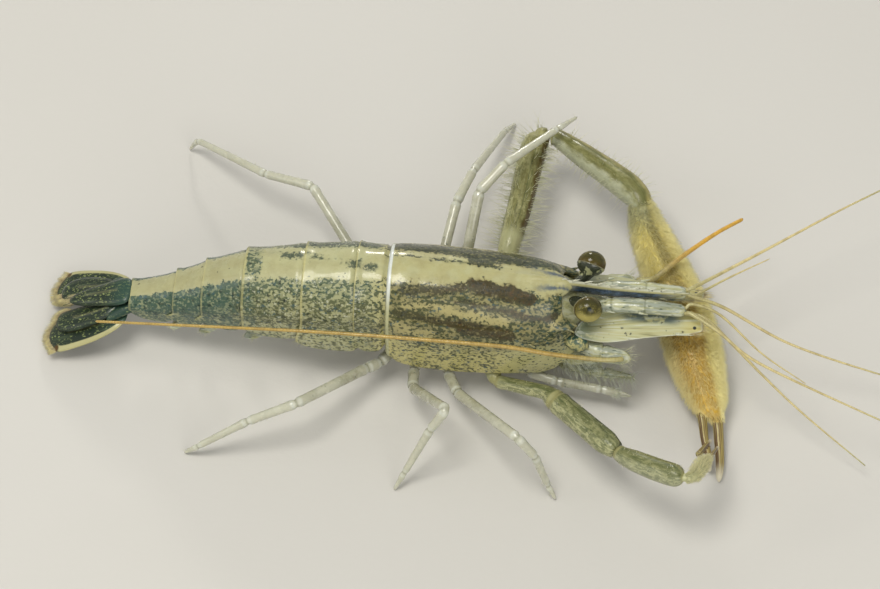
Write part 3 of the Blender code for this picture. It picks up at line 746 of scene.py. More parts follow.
def band_group():
    """1 where a value lies between two others, with soft edges."""
    tree, nodes, (value, start, end, half), result = effect_group(
        "Soft Band", {"Value": 0.0, "From": 0.0, "To": 1.0, "Softness": 0.1}, ("Mask",))
    falling = value.rise(end - half, end + half, 1.0, 0.0)
    nodes.feed(result["Mask"], value.rise(start - half, start + half) * falling)
    return tree


def streak_group():
    """A bowed streak along the body, from one girth to another, that thins out at its ends."""
    inputs = {"Along": 0.0, "Girth": 0.0, "Start": 0.0, "End": 1.0, "Girth at start": 0.1,
              "Girth at end": 0.1, "Bow": 0.0, "Width": 0.05, "Ragged": 0.0}
    tree, nodes, given, result = effect_group("Streak", inputs, ("Mask",))
    along, girth, start, end, first, last, bow, width, ragged = given
    share = (along - start) / (end - start)
    arch = share * (1.0 - share)
    line = bow * 4.0 * arch + ((last - first) * share + first)
    depth = width * arch.rise(0.0, 0.1) - (abs(girth - line) + ragged)
    nodes.feed(result["Mask"], depth.rise(-0.012, 0.022) * arch.rise(0.0, 0.02))
    return tree


def relief_group():
    """Fine pits and slow unevenness of a shell, as a height, and where it looks wetter."""
    tree, nodes, (place, grain, pits), result = effect_group(
        "Shell Relief", {"Place": None, "Grain": 0.12, "Pits": 0.5}, ("Height", "Wetness"))
    scale = 1.0 / grain
    slow = nodes.noise(place, 1.1)
    dents = Value(nodes, nodes.cells(place, scale)["Distance"]).rise(0.0, 0.4) * pits
    nodes.feed(result["Height"], slow * 1.4 + (nodes.noise(place, scale, 3.0, 0.6) * 0.5 + dents))
    nodes.feed(result["Wetness"], slow.rise(0.35, 0.7))
    return tree


EFFECTS = {}
EFFECT_MAKERS = {"speckles": speckle_group, "mottling": mottle_group, "labyrinth": labyrinth_group,
                 "band": band_group, "streak": streak_group, "relief": relief_group}


def tone(colour):
    """A colour of the prawn by its name, and anything else as it is."""
    if isinstance(colour, str):
        return tuple(getattr(bpy.context.scene.prawn_colours, colour))
    return colour


def blend(share, first, second):
    """A fixed colour, share of the way from the first to the second."""
    return tuple(a + (b - a) * share for a, b in zip(tone(first), tone(second)))


class Finish(Nodes):
    """A material under way: its nodes, its shader and the colour that is painted so far."""

    def __init__(self, name, roughness=0.3, coat=0.0, specular=0.5, subsurface=0.0):
        self.material = bpy.data.materials.new(name)
        self.material.use_nodes = True
        super().__init__(self.material.node_tree)
        self.shader = self.tree.nodes["Principled BSDF"].inputs
        for label, value in (("Roughness", roughness), ("Coat Weight", coat), ("Coat Roughness", 0.08),
                             ("Specular IOR Level", specular), ("Subsurface Weight", subsurface),
                             ("Subsurface Radius", (1.0, 0.9, 0.6)), ("Subsurface Scale", 0.6 * MM)):
            self.shader[label].default_value = value
        self.colour = None

    @cached_property
    def place(self):
        """The point in the animal's own frame, in millimetres."""
        metres = self.out("ShaderNodeTexCoord", (), "Object")
        return self.vector("SUBTRACT", self.vector("MULTIPLY", metres, (1 / MM,) * 3), tuple(SHIFT))

    @cached_property
    def course(self):
        """The three numbers that the mesh stores at each point."""
        return self.split(self.out("ShaderNodeAttribute", (), "Vector", attribute_name="course"))

    @cached_property
    def near(self):
        """The distance to the closest joint."""
        return self.out("ShaderNodeAttribute", (), "Fac", attribute_name="near")

    def stretched(self, along, across=1.0):
        """The place drawn out along the body, so that a pattern grows longer."""
        return self.vector("MULTIPLY", self.place, (along, across, across))

    def shifted(self, *shift):
        """The place moved, so that a pattern shows another part of itself."""
        return self.vector("ADD", self.place, shift)

    def paint(self, *layers):
        """Lay colours over the finish in turn, each by a share or where a mask is."""
        for share, colour in layers:
            self.colour = self.mix(share, self.colour, colour)

    def distance(self, point, middle):
        """How far a point is from another one."""
        return self.vector("LENGTH", self.vector("SUBTRACT", point, middle), output="Value")

    def bump(self, strength, distance, height):
        """Let a height in millimetres turn the light."""
        inputs = {"Strength": strength, "Distance": distance * MM, "Height": height}
        self.feed(self.shader["Normal"], self.out("ShaderNodeBump", inputs))

    def done(self, grain=0.0, pits=0.0, strength=0.0, gloss=None, place=None):
        """Hand the colour over, add bump and uneven gloss from the shared relief, and return the material."""
        self.feed(self.shader["Base Color"], self.colour)
        inputs = {"Place": place or self.place, "Grain": grain, "Pits": pits}
        if strength:
            self.bump(strength, 0.05, self.effect("relief", inputs, "Height"))
        if gloss:
            wetness = self.effect("relief", inputs, "Wetness")
            self.feed(self.shader["Roughness"], wetness.rise(0.0, 1.0, *gloss))
        return self.material


# ---------------------------------------------------------------- finishes
# Streaks of the carapace: start, end, girth at both, bow, half width
DARK_STREAKS = ((1.3, 8.3, 0.094, 0.166, -0.002, 0.058), (-5.0, 2.2, 0.205, 0.118, 0.0, 0.036),
                (0.0, 6.8, 0.215, 0.275, -0.01, 0.014), (-5.1, 2.6, 0.345, 0.365, 0.0, 0.034),
                (0.6, 6.6, 0.365, 0.435, 0.0, 0.052), (5.6, 10.4, 0.25, 0.29, 0.02, 0.026))
LIGHT_STREAKS = ((-1.0, 6.4, 0.275, 0.335, 0.0, 0.032), (-5.2, -0.8, 0.45, 0.47, 0.0, 0.04),
                 (8.8, 11.0, 0.45, 0.25, 0.0, 0.024), (-4.4, 0.0, 0.29, 0.26, 0.0, 0.016))
FAR_STREAKS = ((-6.4, 10.6, 0.205, 0.165, 0.0, 0.075), (-6.4, 5.8, 0.078, 0.05, 0.0, 0.011),
               (-15.6, -5.9, 0.225, 0.2, 0.0, 0.055))
BROWN_BLOCK = (1.5, 8.3, 0.09, 0.16, -0.006, 0.042)
CREST_STREAK = (7.2, 12.0, 0.085, 0.05, 0.0, 0.02)


def shell_finish():
    """Glossy shell: a cream back, a fine network of pigment on the sides, streaks, and pale rear edges."""
    look = Finish("speckled shell", coat=0.36, specular=0.28, subsurface=0.05)
    place, (x, girth, share) = look.place, look.course
    lengthwise = look.stretched(0.75)
    drift = look.noise(place, 0.75, 3.0, 0.6).rise(0.25, 0.75, -0.05, 0.05)
    ragged = (look.noise(place, 2.6, 3.0, 0.6) - 0.5) * 0.16
    side = abs(girth)
    edge = side + drift
    wander = drift * 0.35 + ragged * 0.3

    def streak(values, where=side):
        """Where a streak lies, by its row of values."""
        start, end, first, last, bow, width = values
        return look.effect("streak", {"Along": x, "Girth": where, "Start": start, "End": end,
                                      "Girth at start": first, "Girth at end": last, "Bow": bow,
                                      "Width": width, "Ragged": wander})

    def widest(streaks, where=side):
        """Where any of several streaks lies."""
        return reduce(Value.larger, [streak(values, where) for values in streaks])

    dark, light, far = widest(DARK_STREAKS), widest(LIGHT_STREAKS), widest(FAR_STREAKS, girth)

    # Where each kind of ground lies
    tail = x.rise(-8.0, -5.4, 1.0, 0.0)
    rear = (drift * 40.0 + x).rise(-21.5, -15.5, 1.0, 0.0)
    face = x.rise(5.8, 8.2) * edge.rise(0.66, 0.82, 1.0, 0.0)
    cheek = x.rise(3.0, 8.0) * edge.rise(0.44, 0.6)
    front = edge.rise(0.44, 0.62, 1.0, 0.0) * x.rise(-5.6, -5.0)
    low = edge.rise(0.5, 0.78)
    wider = (girth > 0.0) * x.rise(-17.5, -11.0, 0.07, 0.0)
    band_edge = tail.rise(0.0, 1.0, 0.128, 0.15) + wider
    flank = (side + drift * 0.4 + ragged - band_edge).rise(-0.02, 0.025)
    collar = look.band(ragged * 6.0 + x, -18.9, -17.5, 0.25) * side.rise(0.02, 0.16, 0.85, 0.6)
    flank = flank.larger(dark).larger(collar)
    bare = look.math("SUBTRACT", 1.0, far.larger(look.band(girth, 0.06, 0.32, 0.02)), clamp=True)
    brown = dark * bare * x.rise(-5.0, 1.0, 0.45, 0.9)
    solid = (streak(BROWN_BLOCK) * bare * 0.92).larger(brown * 0.26)

    # How much of the surface the fine network of pigment covers
    slow = look.noise(place, 0.9, 3.0, 0.6).rise(0.3, 0.7, -0.14, 0.14)
    cover = tail.rise(0.0, 1.0, 0.46, 0.52) + slow
    for mask, amount in ((rear, 0.15), (face, 0.03), (low, -0.12), (cheek, -0.2), (dark, 0.42),
                         (light, -0.28)):
        cover = mask * amount + cover
    cover = (cover * flank).larger(far * (slow + 0.72))
    pigmented = cover.rise(0.03, 0.15)

    look.colour = "cream"
    patches = look.mottles(look.shifted(2.0, 9.0, 4.0), size=1.5, cover=0.42, softness=0.16)
    look.paint((look.noise(place, 0.9, 3.0).rise(0.4, 0.7, 0.0, 0.35), "clear"), (tail * 0.38, "clear"),
               (x.rise(-20.0, -15.5, 0.16, 0.0), "tan"), (patches * 0.22, "tan"), (flank * 0.85, "flank"),
               (front * flank * 0.5, "tan"),
               (low * tail.rise(0.0, 1.0, 0.6, 0.1), blend(0.55, "cream", "straw")),
               (cheek * 0.55, blend(0.4, "clear", "flank")), (tail * flank * 0.55, "clear"))
    ground = look.colour
    teal = rear.larger(tail * edge.rise(0.2, 0.38, 0.65, 0.0))
    pigment = look.mix(face * 0.5, look.mix(teal, "olive", "blue"), "blue")
    haze = flank * front * 0.14 + flank * (tail + rear).rise(0.0, 2.0, 0.06, 0.5)
    haze = haze.less(light * 0.24).less(low * tail * 0.22).larger(far * 0.5)
    look.paint((haze, look.mix(far * 0.3, pigment, "green")),
               (light * 0.5, blend(0.15, "cream", "amber")), (solid, "brown"))

    # The pigment: clouds, the network, and dots on top
    deep = look.mix(tail.rise(0.0, 1.0, 0.45, 0.22), pigment, "ink")
    deep = look.mix(brown * 0.75, deep, blend(0.5, "brown", "ink"))
    shift = (3.1, 7.7, 1.3)
    clouds = look.mottles(look.vector("ADD", lengthwise, shift), size=0.55, cover=cover, softness=0.09)
    look.paint((clouds * 0.34 * pigmented, deep))
    deep = look.mix(far * 0.4, deep, "ink")
    network = look.mottles(lengthwise, size=0.25, cover=cover, softness=0.045, kind="labyrinth")
    look.paint((network * tail.rise(0.0, 1.0, 0.9, 0.8) * pigmented, deep))
    black = look.mix(0.65, deep, "ink")
    spot = look.mix(brown, blend(0.65, "slate", "blue"), "brown")
    for spacing, density, shift in ((0.36, 0.75, shift), (0.25, 0.65, (8.4, 2.2, 5.9))):
        dots = look.specks(look.vector("ADD", lengthwise, shift), spacing=spacing, cover=cover * density,
                           size=0.4, ragged=1.1)
        tint = Value(look, dots.socket.node.outputs["Tint"]).rise(0.56, 0.64) * bare
        look.paint((dots * 0.78, look.mix(tint, black, spot)))
    pale = look.specks(look.shifted(6.1, 1.7, 3.3), spacing=0.26, cover=0.5, size=0.36, ragged=1.8)
    pale = pale * flank * tail.rise(0.0, 1.0, 0.3, 0.72) * (solid * -0.9 + 1.0)
    light_spot = look.mix(rear, look.mix(tail * 0.35, ground, "rim"), blend(0.45, "blue", "clear"))
    flecks = look.specks(look.shifted(9.0, 2.0, 5.0), spacing=0.55, cover=0.07, size=0.22, ragged=0.5)
    look.paint((pale, light_spot), (flecks * 0.75, "ink"))

    # Dashes beside the middle of the back, on the front somites
    off = abs(girth - (x * -0.0165 + -0.165))
    dash = look.band(x, -16.5, -6.2, 0.5) * (off + ragged).rise(0.02, 0.05, 1.0, 0.0)
    gaps = look.mottles(place, size=2.4, cover=0.5, softness=0.05)
    grain = look.mottles(lengthwise, size=0.34, cover=0.66, softness=0.05)
    look.paint((dash * gaps * (grain * 0.85), blend(0.4, "ink", "blue")))

    # The crest's streak, the seams between the somites, and the shining rear edge
    rim = x.rise(-5.36, -5.28, 1.0, 0.0) * x.rise(-5.72, -5.66)
    look.paint((streak(CREST_STREAK) * x.rise(7.4, 9.6, 0.2, 0.85), "slate"),
               (share.rise(0.962, 0.974) * x.rise(-20.0, -18.0, 0.26, 0.45), blend(0.3, "cream", "straw")),
               (rim, look.mix(side.rise(0.16, 0.4), "rim", blend(0.5, "cream", "clear"))))
    return look.done(grain=0.22, pits=0.5, strength=0.3, gloss=(0.24, 0.44))


def rostrum_finish():
    """A cream crest with white teeth over slate-blue sides."""
    look = Finish("rostrum", coat=0.5, subsurface=0.08)
    x, height, tooth = look.course
    mark = look.mottles(look.stretched(0.45), size=0.5, cover=0.55, softness=0.08)
    reach = x.rise(10.0, 12.0) * x.rise(18.5, 21.5, 1.0, 0.25)
    dots = look.specks(look.place, spacing=0.28, cover=0.3, size=0.25, ragged=0.6)
    look.colour = "cream"
    look.paint((look.band(height, -0.72, 0.52, 0.12) * reach, look.mix(mark * 0.7, "slate", "ink")),
               (tooth.larger(height.rise(0.7, 0.85)), blend(0.55, "rim", "cream")), (dots * 0.7, "ink"))
    return look.done(grain=0.2, pits=0.4, strength=0.3, gloss=(0.18, 0.32))


def fan_finish():
    """Dark tail blades with fine pale dots, dark ribs and a cream outer margin."""
    look = Finish("tail blades", coat=0.25, specular=0.35)
    along, across, share = look.course
    dots = look.specks(look.stretched(0.5), spacing=0.18, cover=0.8, size=0.36, ragged=1.5)
    cloud = look.mottles(look.place, size=1.5, cover=0.55, softness=0.16)
    fade = cloud.rise(0, 1, 0.35, 1.0) * share.rise(0.8, 0.97, 1.0, 0.15)
    veins = look.noise(look.join(along * 0.12, across * 1.5, 0.0), 3.0)
    outer = abs(across) - (along * 0.21 + 2.0)
    margin = outer.rise(0.15, 0.45) * share.rise(0.7, 0.76) * along.rise(6.7, 7.2, 1.0, 0.0)
    spot = look.distance(look.join(along, abs(across), 0.0), (7.15, 4.2, 0.0))
    look.colour = "fan"
    look.paint((dots * fade, "fan_dots"), (veins.rise(0.5, 0.66, 0.0, 0.6), blend(0.65, "blue", "olive")),
               (along.rise(0.0, 2.6, 0.55, 0.0), "blue"),
               (abs(share).rise(0.05, 0.14, 0.25, 0.0), blend(0.6, "olive", "cream")), (margin, "cream"),
               (spot.rise(0.22, 0.36, 1.0, 0.0), "brown"))
    return look.done(grain=0.16, pits=0.5, strength=0.4, gloss=(0.3, 0.45))


def clear_finish():
    """Thin, pale, glassy shell with fine lengthwise lines and few specks, and painted shade under the head.
    """
    look = Finish("clear shell", coat=0.15, specular=0.35, subsurface=0.12)
    lines = look.noise(look.stretched(0.1, 1.6), 2.4, 3.0, 0.6)
    stretched = look.stretched(0.35)
    tint = look.mottles(stretched, size=0.65, cover=0.46, softness=0.05)
    dots = look.specks(stretched, spacing=0.2, cover=0.26, size=0.28, ragged=0.9)
    # Painted shade: between 8.4 and 12.2 mm along the body, under the front of the head and about the mouth,
    # the clear pieces get darker olive mottles where shade falls.
    socket = look.band(look.split(look.place)[0], 8.4, 12.2, 0.8)
    look.colour = blend(0.4, "clear", "rim")
    look.paint((lines.rise(0.42, 0.62), blend(0.5, "clear", "cream")),
               (lines.rise(0.62, 0.72, 0.0, 0.4), "olive"), (tint * 0.42, blend(0.5, "blue", "slate")),
               (dots * 0.7, blend(0.5, "ink", "blue")),
               # painted shade under the head
               (socket * tint.rise(0.0, 1.0, 0.6, 0.85), blend(0.4, "olive", "flank")),
               (look.near.rise(0.0, 0.14, 0.4, 0.0), "olive"))
    return look.done(grain=0.2, pits=0.3, strength=0.25, gloss=(0.12, 0.25))


def knob_finish():
    """The swelling under each eye, with dark green patches round a pale middle."""
    look = Finish("knob", coat=0.15, specular=0.35, subsurface=0.1)
    patches = look.mottles(look.place, size=0.55, cover=0.52, softness=0.05)
    hoop = abs(look.course[2] - 0.45).rise(0.15, 0.5, 0.25, 1.0)
    lines = look.mottles(look.place, size=0.24, cover=0.4, softness=0.05, kind="labyrinth")
    look.colour = "flank"
    look.paint((patches * hoop, blend(0.4, "blue", "ink")), (lines * 0.6, "blue"))
    return look.done(grain=0.2, pits=0.4, strength=0.4, gloss=(0.3, 0.45))


def scale_finish():
    """An antennal scale: clear, with lines fanning from its root, a blue smudge and a marked tip."""
    look = Finish("antennal scale", coat=0.2, specular=0.35, subsurface=0.1)
    along, across, share = look.course
    width = abs(across)
    fan = (width - 3.1) / (along + 3.0)
    lines = look.noise(look.join(along * 0.05, fan * 9.0, 0.0), 4.0, 2.0, 0.6)
    smudge = look.mottles(look.place, size=0.9, cover=0.62, softness=0.08)
    where = look.band(along, 4.4, 9.4, 0.8) * width.rise(1.5, 2.2, 1.0, 0.0)
    dots = look.specks(look.place, spacing=0.4, cover=0.22, size=0.26, ragged=0.8)
    mottles = look.mottles(look.place, size=0.5, cover=0.6, softness=0.05)
    tip = look.distance(look.join(along, width, 0.0), (10.9, 2.05, 0.0))
    look.colour = "clear"
    look.paint((lines.rise(0.35, 0.65), "cream"), (lines.rise(0.58, 0.68, 0.0, 0.45), "olive"),
               (lines.rise(0.42, 0.34, 0.0, 0.45), "rim"),
               (smudge * where * 0.8, blend(0.4, "slate", "blue")),
               (along.rise(8.8, 11.2) * lines.rise(0.3, 0.6, 0.25, 0.6), blend(0.35, "straw", "brown")),
               (dots * 0.8, "ink"),
               (along.rise(0.6, 2.6, 1.0, 0.0) * mottles.rise(0.0, 1.0, 0.25, 0.8),
                blend(0.45, "blue", "olive")),
               (share.rise(0.9, 0.97, 0.0, 0.35), "rim"), (tip.rise(0.12, 0.2, 1.0, 0.0), "ink"))
    return look.done(grain=0.16, pits=0.2, strength=0.6, gloss=(0.32, 0.48),
                     place=look.join(along * 0.1, fan * 9.0, 0.0))


def leg_finish():
    """Whitish legs, greener near the body, with marked joints."""
    look = Finish("leg", coat=0.5, subsurface=0.2)
    along = look.course[0]
    cloud = look.mottles(look.place, size=1.6, cover=0.5, softness=0.18)
    olive = blend(0.62, "leg", blend(0.35, "olive", "tan"))
    near_body = (cloud * along.rise(4.0, 15.0, 1.0, 0.22)).larger(along.rise(5.0, 11.0, 0.5, 0.0))
    dots = look.specks(look.place, spacing=0.36, cover=0.2, size=0.24, ragged=0.6)
    knuckle = look.band(look.near, 0.16, 0.45, 0.12)
    look.colour = "leg"
    look.paint((near_body, olive), (dots * along.rise(4.0, 14.0, 0.6, 0.12), blend(0.5, "green", "slate")),
               (look.near.rise(0.03, 0.12, 0.3, 0.0), "olive"), (knuckle * 0.35, "rim"))
    return look.done(grain=0.22, pits=0.3, strength=0.25, gloss=(0.15, 0.3))


def arm_finish(name, green, pale_to):
    """Mottled arm: dark along one side, pale along the other, with fine lengthwise lines of specks."""
    look = Finish(name, coat=0.15, specular=0.35, subsurface=0.05)
    place, (along, side, up) = look.place, look.course
    course = look.join(along * 0.42, side, up)
    dark = blend(green, blend(0.35, "arm", "brown"), "green")
    cloud = look.mottles(course, size=0.85, cover=0.5, softness=0.14)
    drift = look.noise(place, 0.8).rise(0.3, 0.7, -0.14, 0.14)
    round_ = side + drift
    patches = look.mottles(look.vector("ADD", course, (5.0, 3.0, 8.0)), size=1.1, cover=0.34, softness=0.08)
    specks = look.mottles(course, size=0.26, cover=0.5, softness=0.05)
    strings = look.noise(look.join(along * 0.22, side * 5.0, up * 5.0), 1.3, 3.0)
    line = look.band(drift * -0.7 + round_, -0.27, -0.23, 0.05)
    fine = look.specks(place, spacing=0.22, cover=0.5, size=0.3, ragged=0.8)
    wrist = along.rise(WRIST_START - 1.0, WRIST_START) * (1.0 - green)
    look.colour = blend(green, blend(0.42, "arm", "cream"), blend(0.4, "arm", "clear"))
    look.paint((cloud * (0.55 - 0.2 * green), dark),
               (round_.rise(0.3, 0.85, 0.0, 0.8), blend(0.5, "clear", "cream")),
               (patches * (0.7 - 0.55 * green), blend(0.3, "flank", "clear")), (specks * 0.55, dark),
               (strings.rise(0.55, 0.64, 0.0, 0.4), "green"), (strings.rise(0.36, 0.3, 0.0, 0.25), "clear"),
               (line * 0.85, blend(0.3, "green", "ink")),
               (round_.rise(-0.88, -0.6, 0.9, 0.0), blend(green, "brown", "green")),
               (fine * 0.45, blend(0.5, "ink", "green")), (wrist * 0.5, blend(0.15, "arm", "green")),
               (wrist * round_.rise(0.45, 0.9, 0.0, 0.6), blend(0.4, "clear", "rim")),
               (wrist * round_.rise(-0.7, -0.35, 0.6, 0.0), blend(0.5, "tan", "straw")),
               (along.rise(pale_to - 1.2, pale_to + 0.3, 0.72, 0.0), blend(0.5, "cream", "clear")),
               (look.near.rise(0.34, 0.56, 0.9, 0.0), blend(0.35, "cream", "arm")))
    return look.done(grain=0.26, pits=0.6, strength=0.5, gloss=(0.28, 0.44))


def paint_velvet(look, along, round_, tint):
    """Markings that the palm's skin and its hairs share, with painted shade down the middle and pale sides
    that are partly painted light.
    """
    drift = look.noise(look.place, 0.5).rise(0.3, 0.7, -0.08, 0.08)
    inner = (drift * 2.0 + round_).rise(-0.62, -0.2)
    # Painted shade: a darker band down the middle of the palm's half near the wrist, fading out towards the
    # fingers.
    shade = look.band(round_, -0.32, 0.22, 0.16) * along.rise(0.3, 0.55, 0.72, 0.0)
    # The pale halo at both sides of the palm is partly the velvet tips' own colour and partly painted light,
    # strongest on the side where shade falls.
    halo = round_.rise(-0.75, -0.25, 0.85, 0.0).larger(round_.rise(0.7, 0.96, 0.0, 0.5))
    wrist = along.rise(0.06, 0.17, 0.9, tint) * round_.rise(-0.5, 0.1, 0.45 + 0.5 * tint, 1.0)
    grain = look.noise(look.place, 3.0)
    look.colour = "straw"
    # The shade band, and the greener core near the wrist on the next line, are painted shade.
    look.paint(((along + drift).rise(0.26, 0.56) * inner, "amber"), (shade, blend(0.5, "arm", "amber")),
               # the halo here is partly painted light
               (halo, "down"), (along.rise(0.16, 0.34, 0.55, 0.0) * shade, blend(0.4, "arm", "green")),
               (wrist, blend(0.5 + 0.4 * tint, "arm", "clear")), (grain.rise(0.35, 0.7, 0.0, 0.22), "down"))


def palm_finish(name, tint):
    """Skin under the velvet, running out into bare, striped brown fingers with pale tips."""
    look = Finish(name, roughness=0.5, coat=0.2)
    along, side, up = look.course
    paint_velvet(look, along, side, tint)
    stripes = look.noise(look.join(along * 3.0, side * 3.2, up * 3.2), 1.0)
    bare = look.mix(stripes.rise(0.42, 0.58), "finger", blend(0.55, "straw", "finger"))
    bare = look.mix(along.rise(0.93, 0.99), bare, blend(0.35, "rim", "amber"))
    look.paint((along.rise(0.765, 0.8), bare))
    return look.done(grain=0.18, pits=0.5, strength=0.4)


def velvet_finish(name, tint):
    """Hairs that have the skin's colour at their roots and are pale at their tips."""
    look = Finish(name, roughness=0.62, specular=0.3)
    look.shader["Sheen Weight"].default_value = 0.25
    look.shader["Sheen Roughness"].default_value = 0.5
    along, round_, share = look.course
    paint_velvet(look, along, look.math("COSINE", round_ * math.tau), tint)
    look.paint((share.rise(0.1, 0.9, 0.0, 0.68) * along.rise(0.06, 0.2, 0.35, 1.0), "down"))
    return look.done()


def hair_finish(name, root, tip):
    """Single hairs, darker at the root."""
    look = Finish(name, roughness=0.45)
    uneven = look.noise(look.place, 2.2).rise(0.3, 0.7, -0.25, 0.25)
    look.colour = root
    look.paint((look.math("ADD", look.course[2], uneven, clamp=True), tip))
    return look.done()


def feeler_finish(name, root, tip, turn_at, pitch=0.3):
    """A whip of many short rings, darker between the rings."""
    look = Finish(name, coat=0.3, subsurface=0.1)
    along = look.course[0]
    wave = look.math("SINE", along * (math.tau / pitch))
    uneven = look.noise(look.place, 1.6)
    look.colour = root
    look.paint((along.rise(turn_at - 3.0, turn_at + 3.0), tip), (along.rise(0.4, 7.0, 0.9, 0.0), "flank"),
               (uneven.rise(0.35, 0.7, 0.0, 0.3), "brown"), (wave.rise(-1.0, -0.2, 0.13, 0.0), "brown"))
    look.bump(0.3, 0.02, wave)
    look.feed(look.shader["Roughness"], uneven.rise(0.3, 0.7, 0.25, 0.45))
    return look.done()


def cornea_finish():
    """A polished bronze globe with a fine mesh of facets, a dark rim and a dark spot."""
    look = Finish("cornea", roughness=0.16, coat=0.12, specular=0.3)
    _, polar, spot = look.course
    cell = Value(look, look.cells(look.place, 9.0)["Distance"]).rise(0.15, 0.55)
    cloud = look.noise(look.place, 1.5)
    _, across, up = look.split(look.place)
    inward = (up - EYE_PLACE[2]) * 0.65 + (EYE_PLACE[1] - abs(across))
    crescent = (inward + cloud.rise(0.3, 0.7, -0.2, 0.2)).rise(0.15, 0.85, 0.0, 0.8)
    dots = look.specks(look.place, spacing=0.26, cover=0.55, size=0.34, ragged=0.3)
    pupil = (dots * spot.rise(0.3, 0.48, 0.8, 0.0)).larger(spot.rise(0.12, 0.2, 1.0, 0.0))
    look.colour = "bronze"
    look.paint((cloud.rise(0.4, 0.6), blend(0.22, "bronze", "straw")),
               (cell * 0.75, blend(0.3, "ink", "bronze")),
               (inward.rise(-0.95, -0.05, 0.42, 0.0) * spot.rise(0.3, 0.7), "straw"),
               (crescent, blend(0.35, "ink", "bronze")),
               (polar.rise(0.6, 0.95, 0.0, 0.8), blend(0.5, "brown", "bronze")),
               (spot.rise(1.08, 1.34, 0.0, 0.7), blend(0.5, "ink", "brown")), (pupil, "ink"))
    look.bump(0.15, 0.02, cell)
    return look.done()


def stalk_finish():
    """Grey-green, glassy eyestalk with black patches and a brown upper rim."""
    look = Finish("eyestalk", coat=0.4, subsurface=0.1)
    patches = look.mottles(look.place, size=0.8, cover=0.6, softness=0.03)
    look.colour = blend(0.5, "clear", "arm")
    look.paint((patches * 0.92, "ink"),
               (look.course[1].rise(0.0, 0.12, 0.85, 0.0), blend(0.5, "cream", "brown")))
    return look.done(grain=0.15, pits=0.3, strength=0.3, gloss=(0.1, 0.22))


def floor_finish():
    """A pale, matt floor with a very slight unevenness."""
    look = Finish("pale floor", roughness=0.9, specular=0.2)
    look.colour = "floor"
    look.paint((look.noise(look.place, 0.02, 3.0).rise(0.3, 0.7), blend(0.08, "floor", (0.45, 0.43, 0.38))))
    look.bump(0.25, 0.08, look.noise(look.place, 1.4, 4.0, 0.6))
    return look.done()


FINISHES = {}
FINISH_MAKERS = {
    "shell": (shell_finish,), "rostrum": (rostrum_finish,), "fan": (fan_finish,), "clear": (clear_finish,),
    "scale": (scale_finish,), "knob": (knob_finish,), "leg": (leg_finish,), "cornea": (cornea_finish,),
    "stalk": (stalk_finish,), "floor": (floor_finish,),
    "big palm": (palm_finish, "palm skin", 0.0), "big velvet": (velvet_finish, "velvet", 0.0),
    "second palm": (palm_finish, "slender palm skin", 0.85),
    "second velvet": (velvet_finish, "slender velvet", 0.85),
    "big arm": (arm_finish, "big arm", 0.15, 9.2), "second arm": (arm_finish, "second arm", 0.75, 3.6),
    "fringe": (hair_finish, "fringe", "fringe", "down"),
    "bristle": (hair_finish, "bristle", "clear", "bristle"),
    "brush": (hair_finish, "mouth brush", "clear", "rim"),
    "gold": (feeler_finish, "golden whip", "gold", "gold", 40.0),
    "orange": (feeler_finish, "orange whip", "gold", "orange", 5.0),
    "whip": (feeler_finish, "pale whip", "whip", "cream", 20.0, 0.26),
}


def finish_of(key):
    """A finish, made the first time that a piece asks for it."""
    if key not in FINISHES:
        maker, *values = FINISH_MAKERS[key]
        FINISHES[key] = maker(*values)
    return FINISHES[key]


# ---------------------------------------------------------------- pieces
def cone(skin, root, tip, radius, course, sides=8, rings=6, bend=(0.0, 0.0, 0.0)):
    """A spine or tooth that narrows to a point and may curve."""
    root, tip = np.asarray(root, float), np.asarray(tip, float)
    shares = np.linspace(0.0, 1.0, rings)
    line = np.array([root + (tip - root) * t + np.asarray(bend) * t * (1 - t) * 4 for t in shares])
    rows = hoops(line, radius * (1 - shares) ** 0.75 + 0.012, sides, shares)[0]
    skin.rings(rows, np.broadcast_to(np.asarray(course, float), (rings, sides, 3)))


CORE_SIDES, ROSTRUM_SIDES, EYE_SIDES, STALK_SIDES, PALM_SIDES = 40, 24, 48, 40, 48


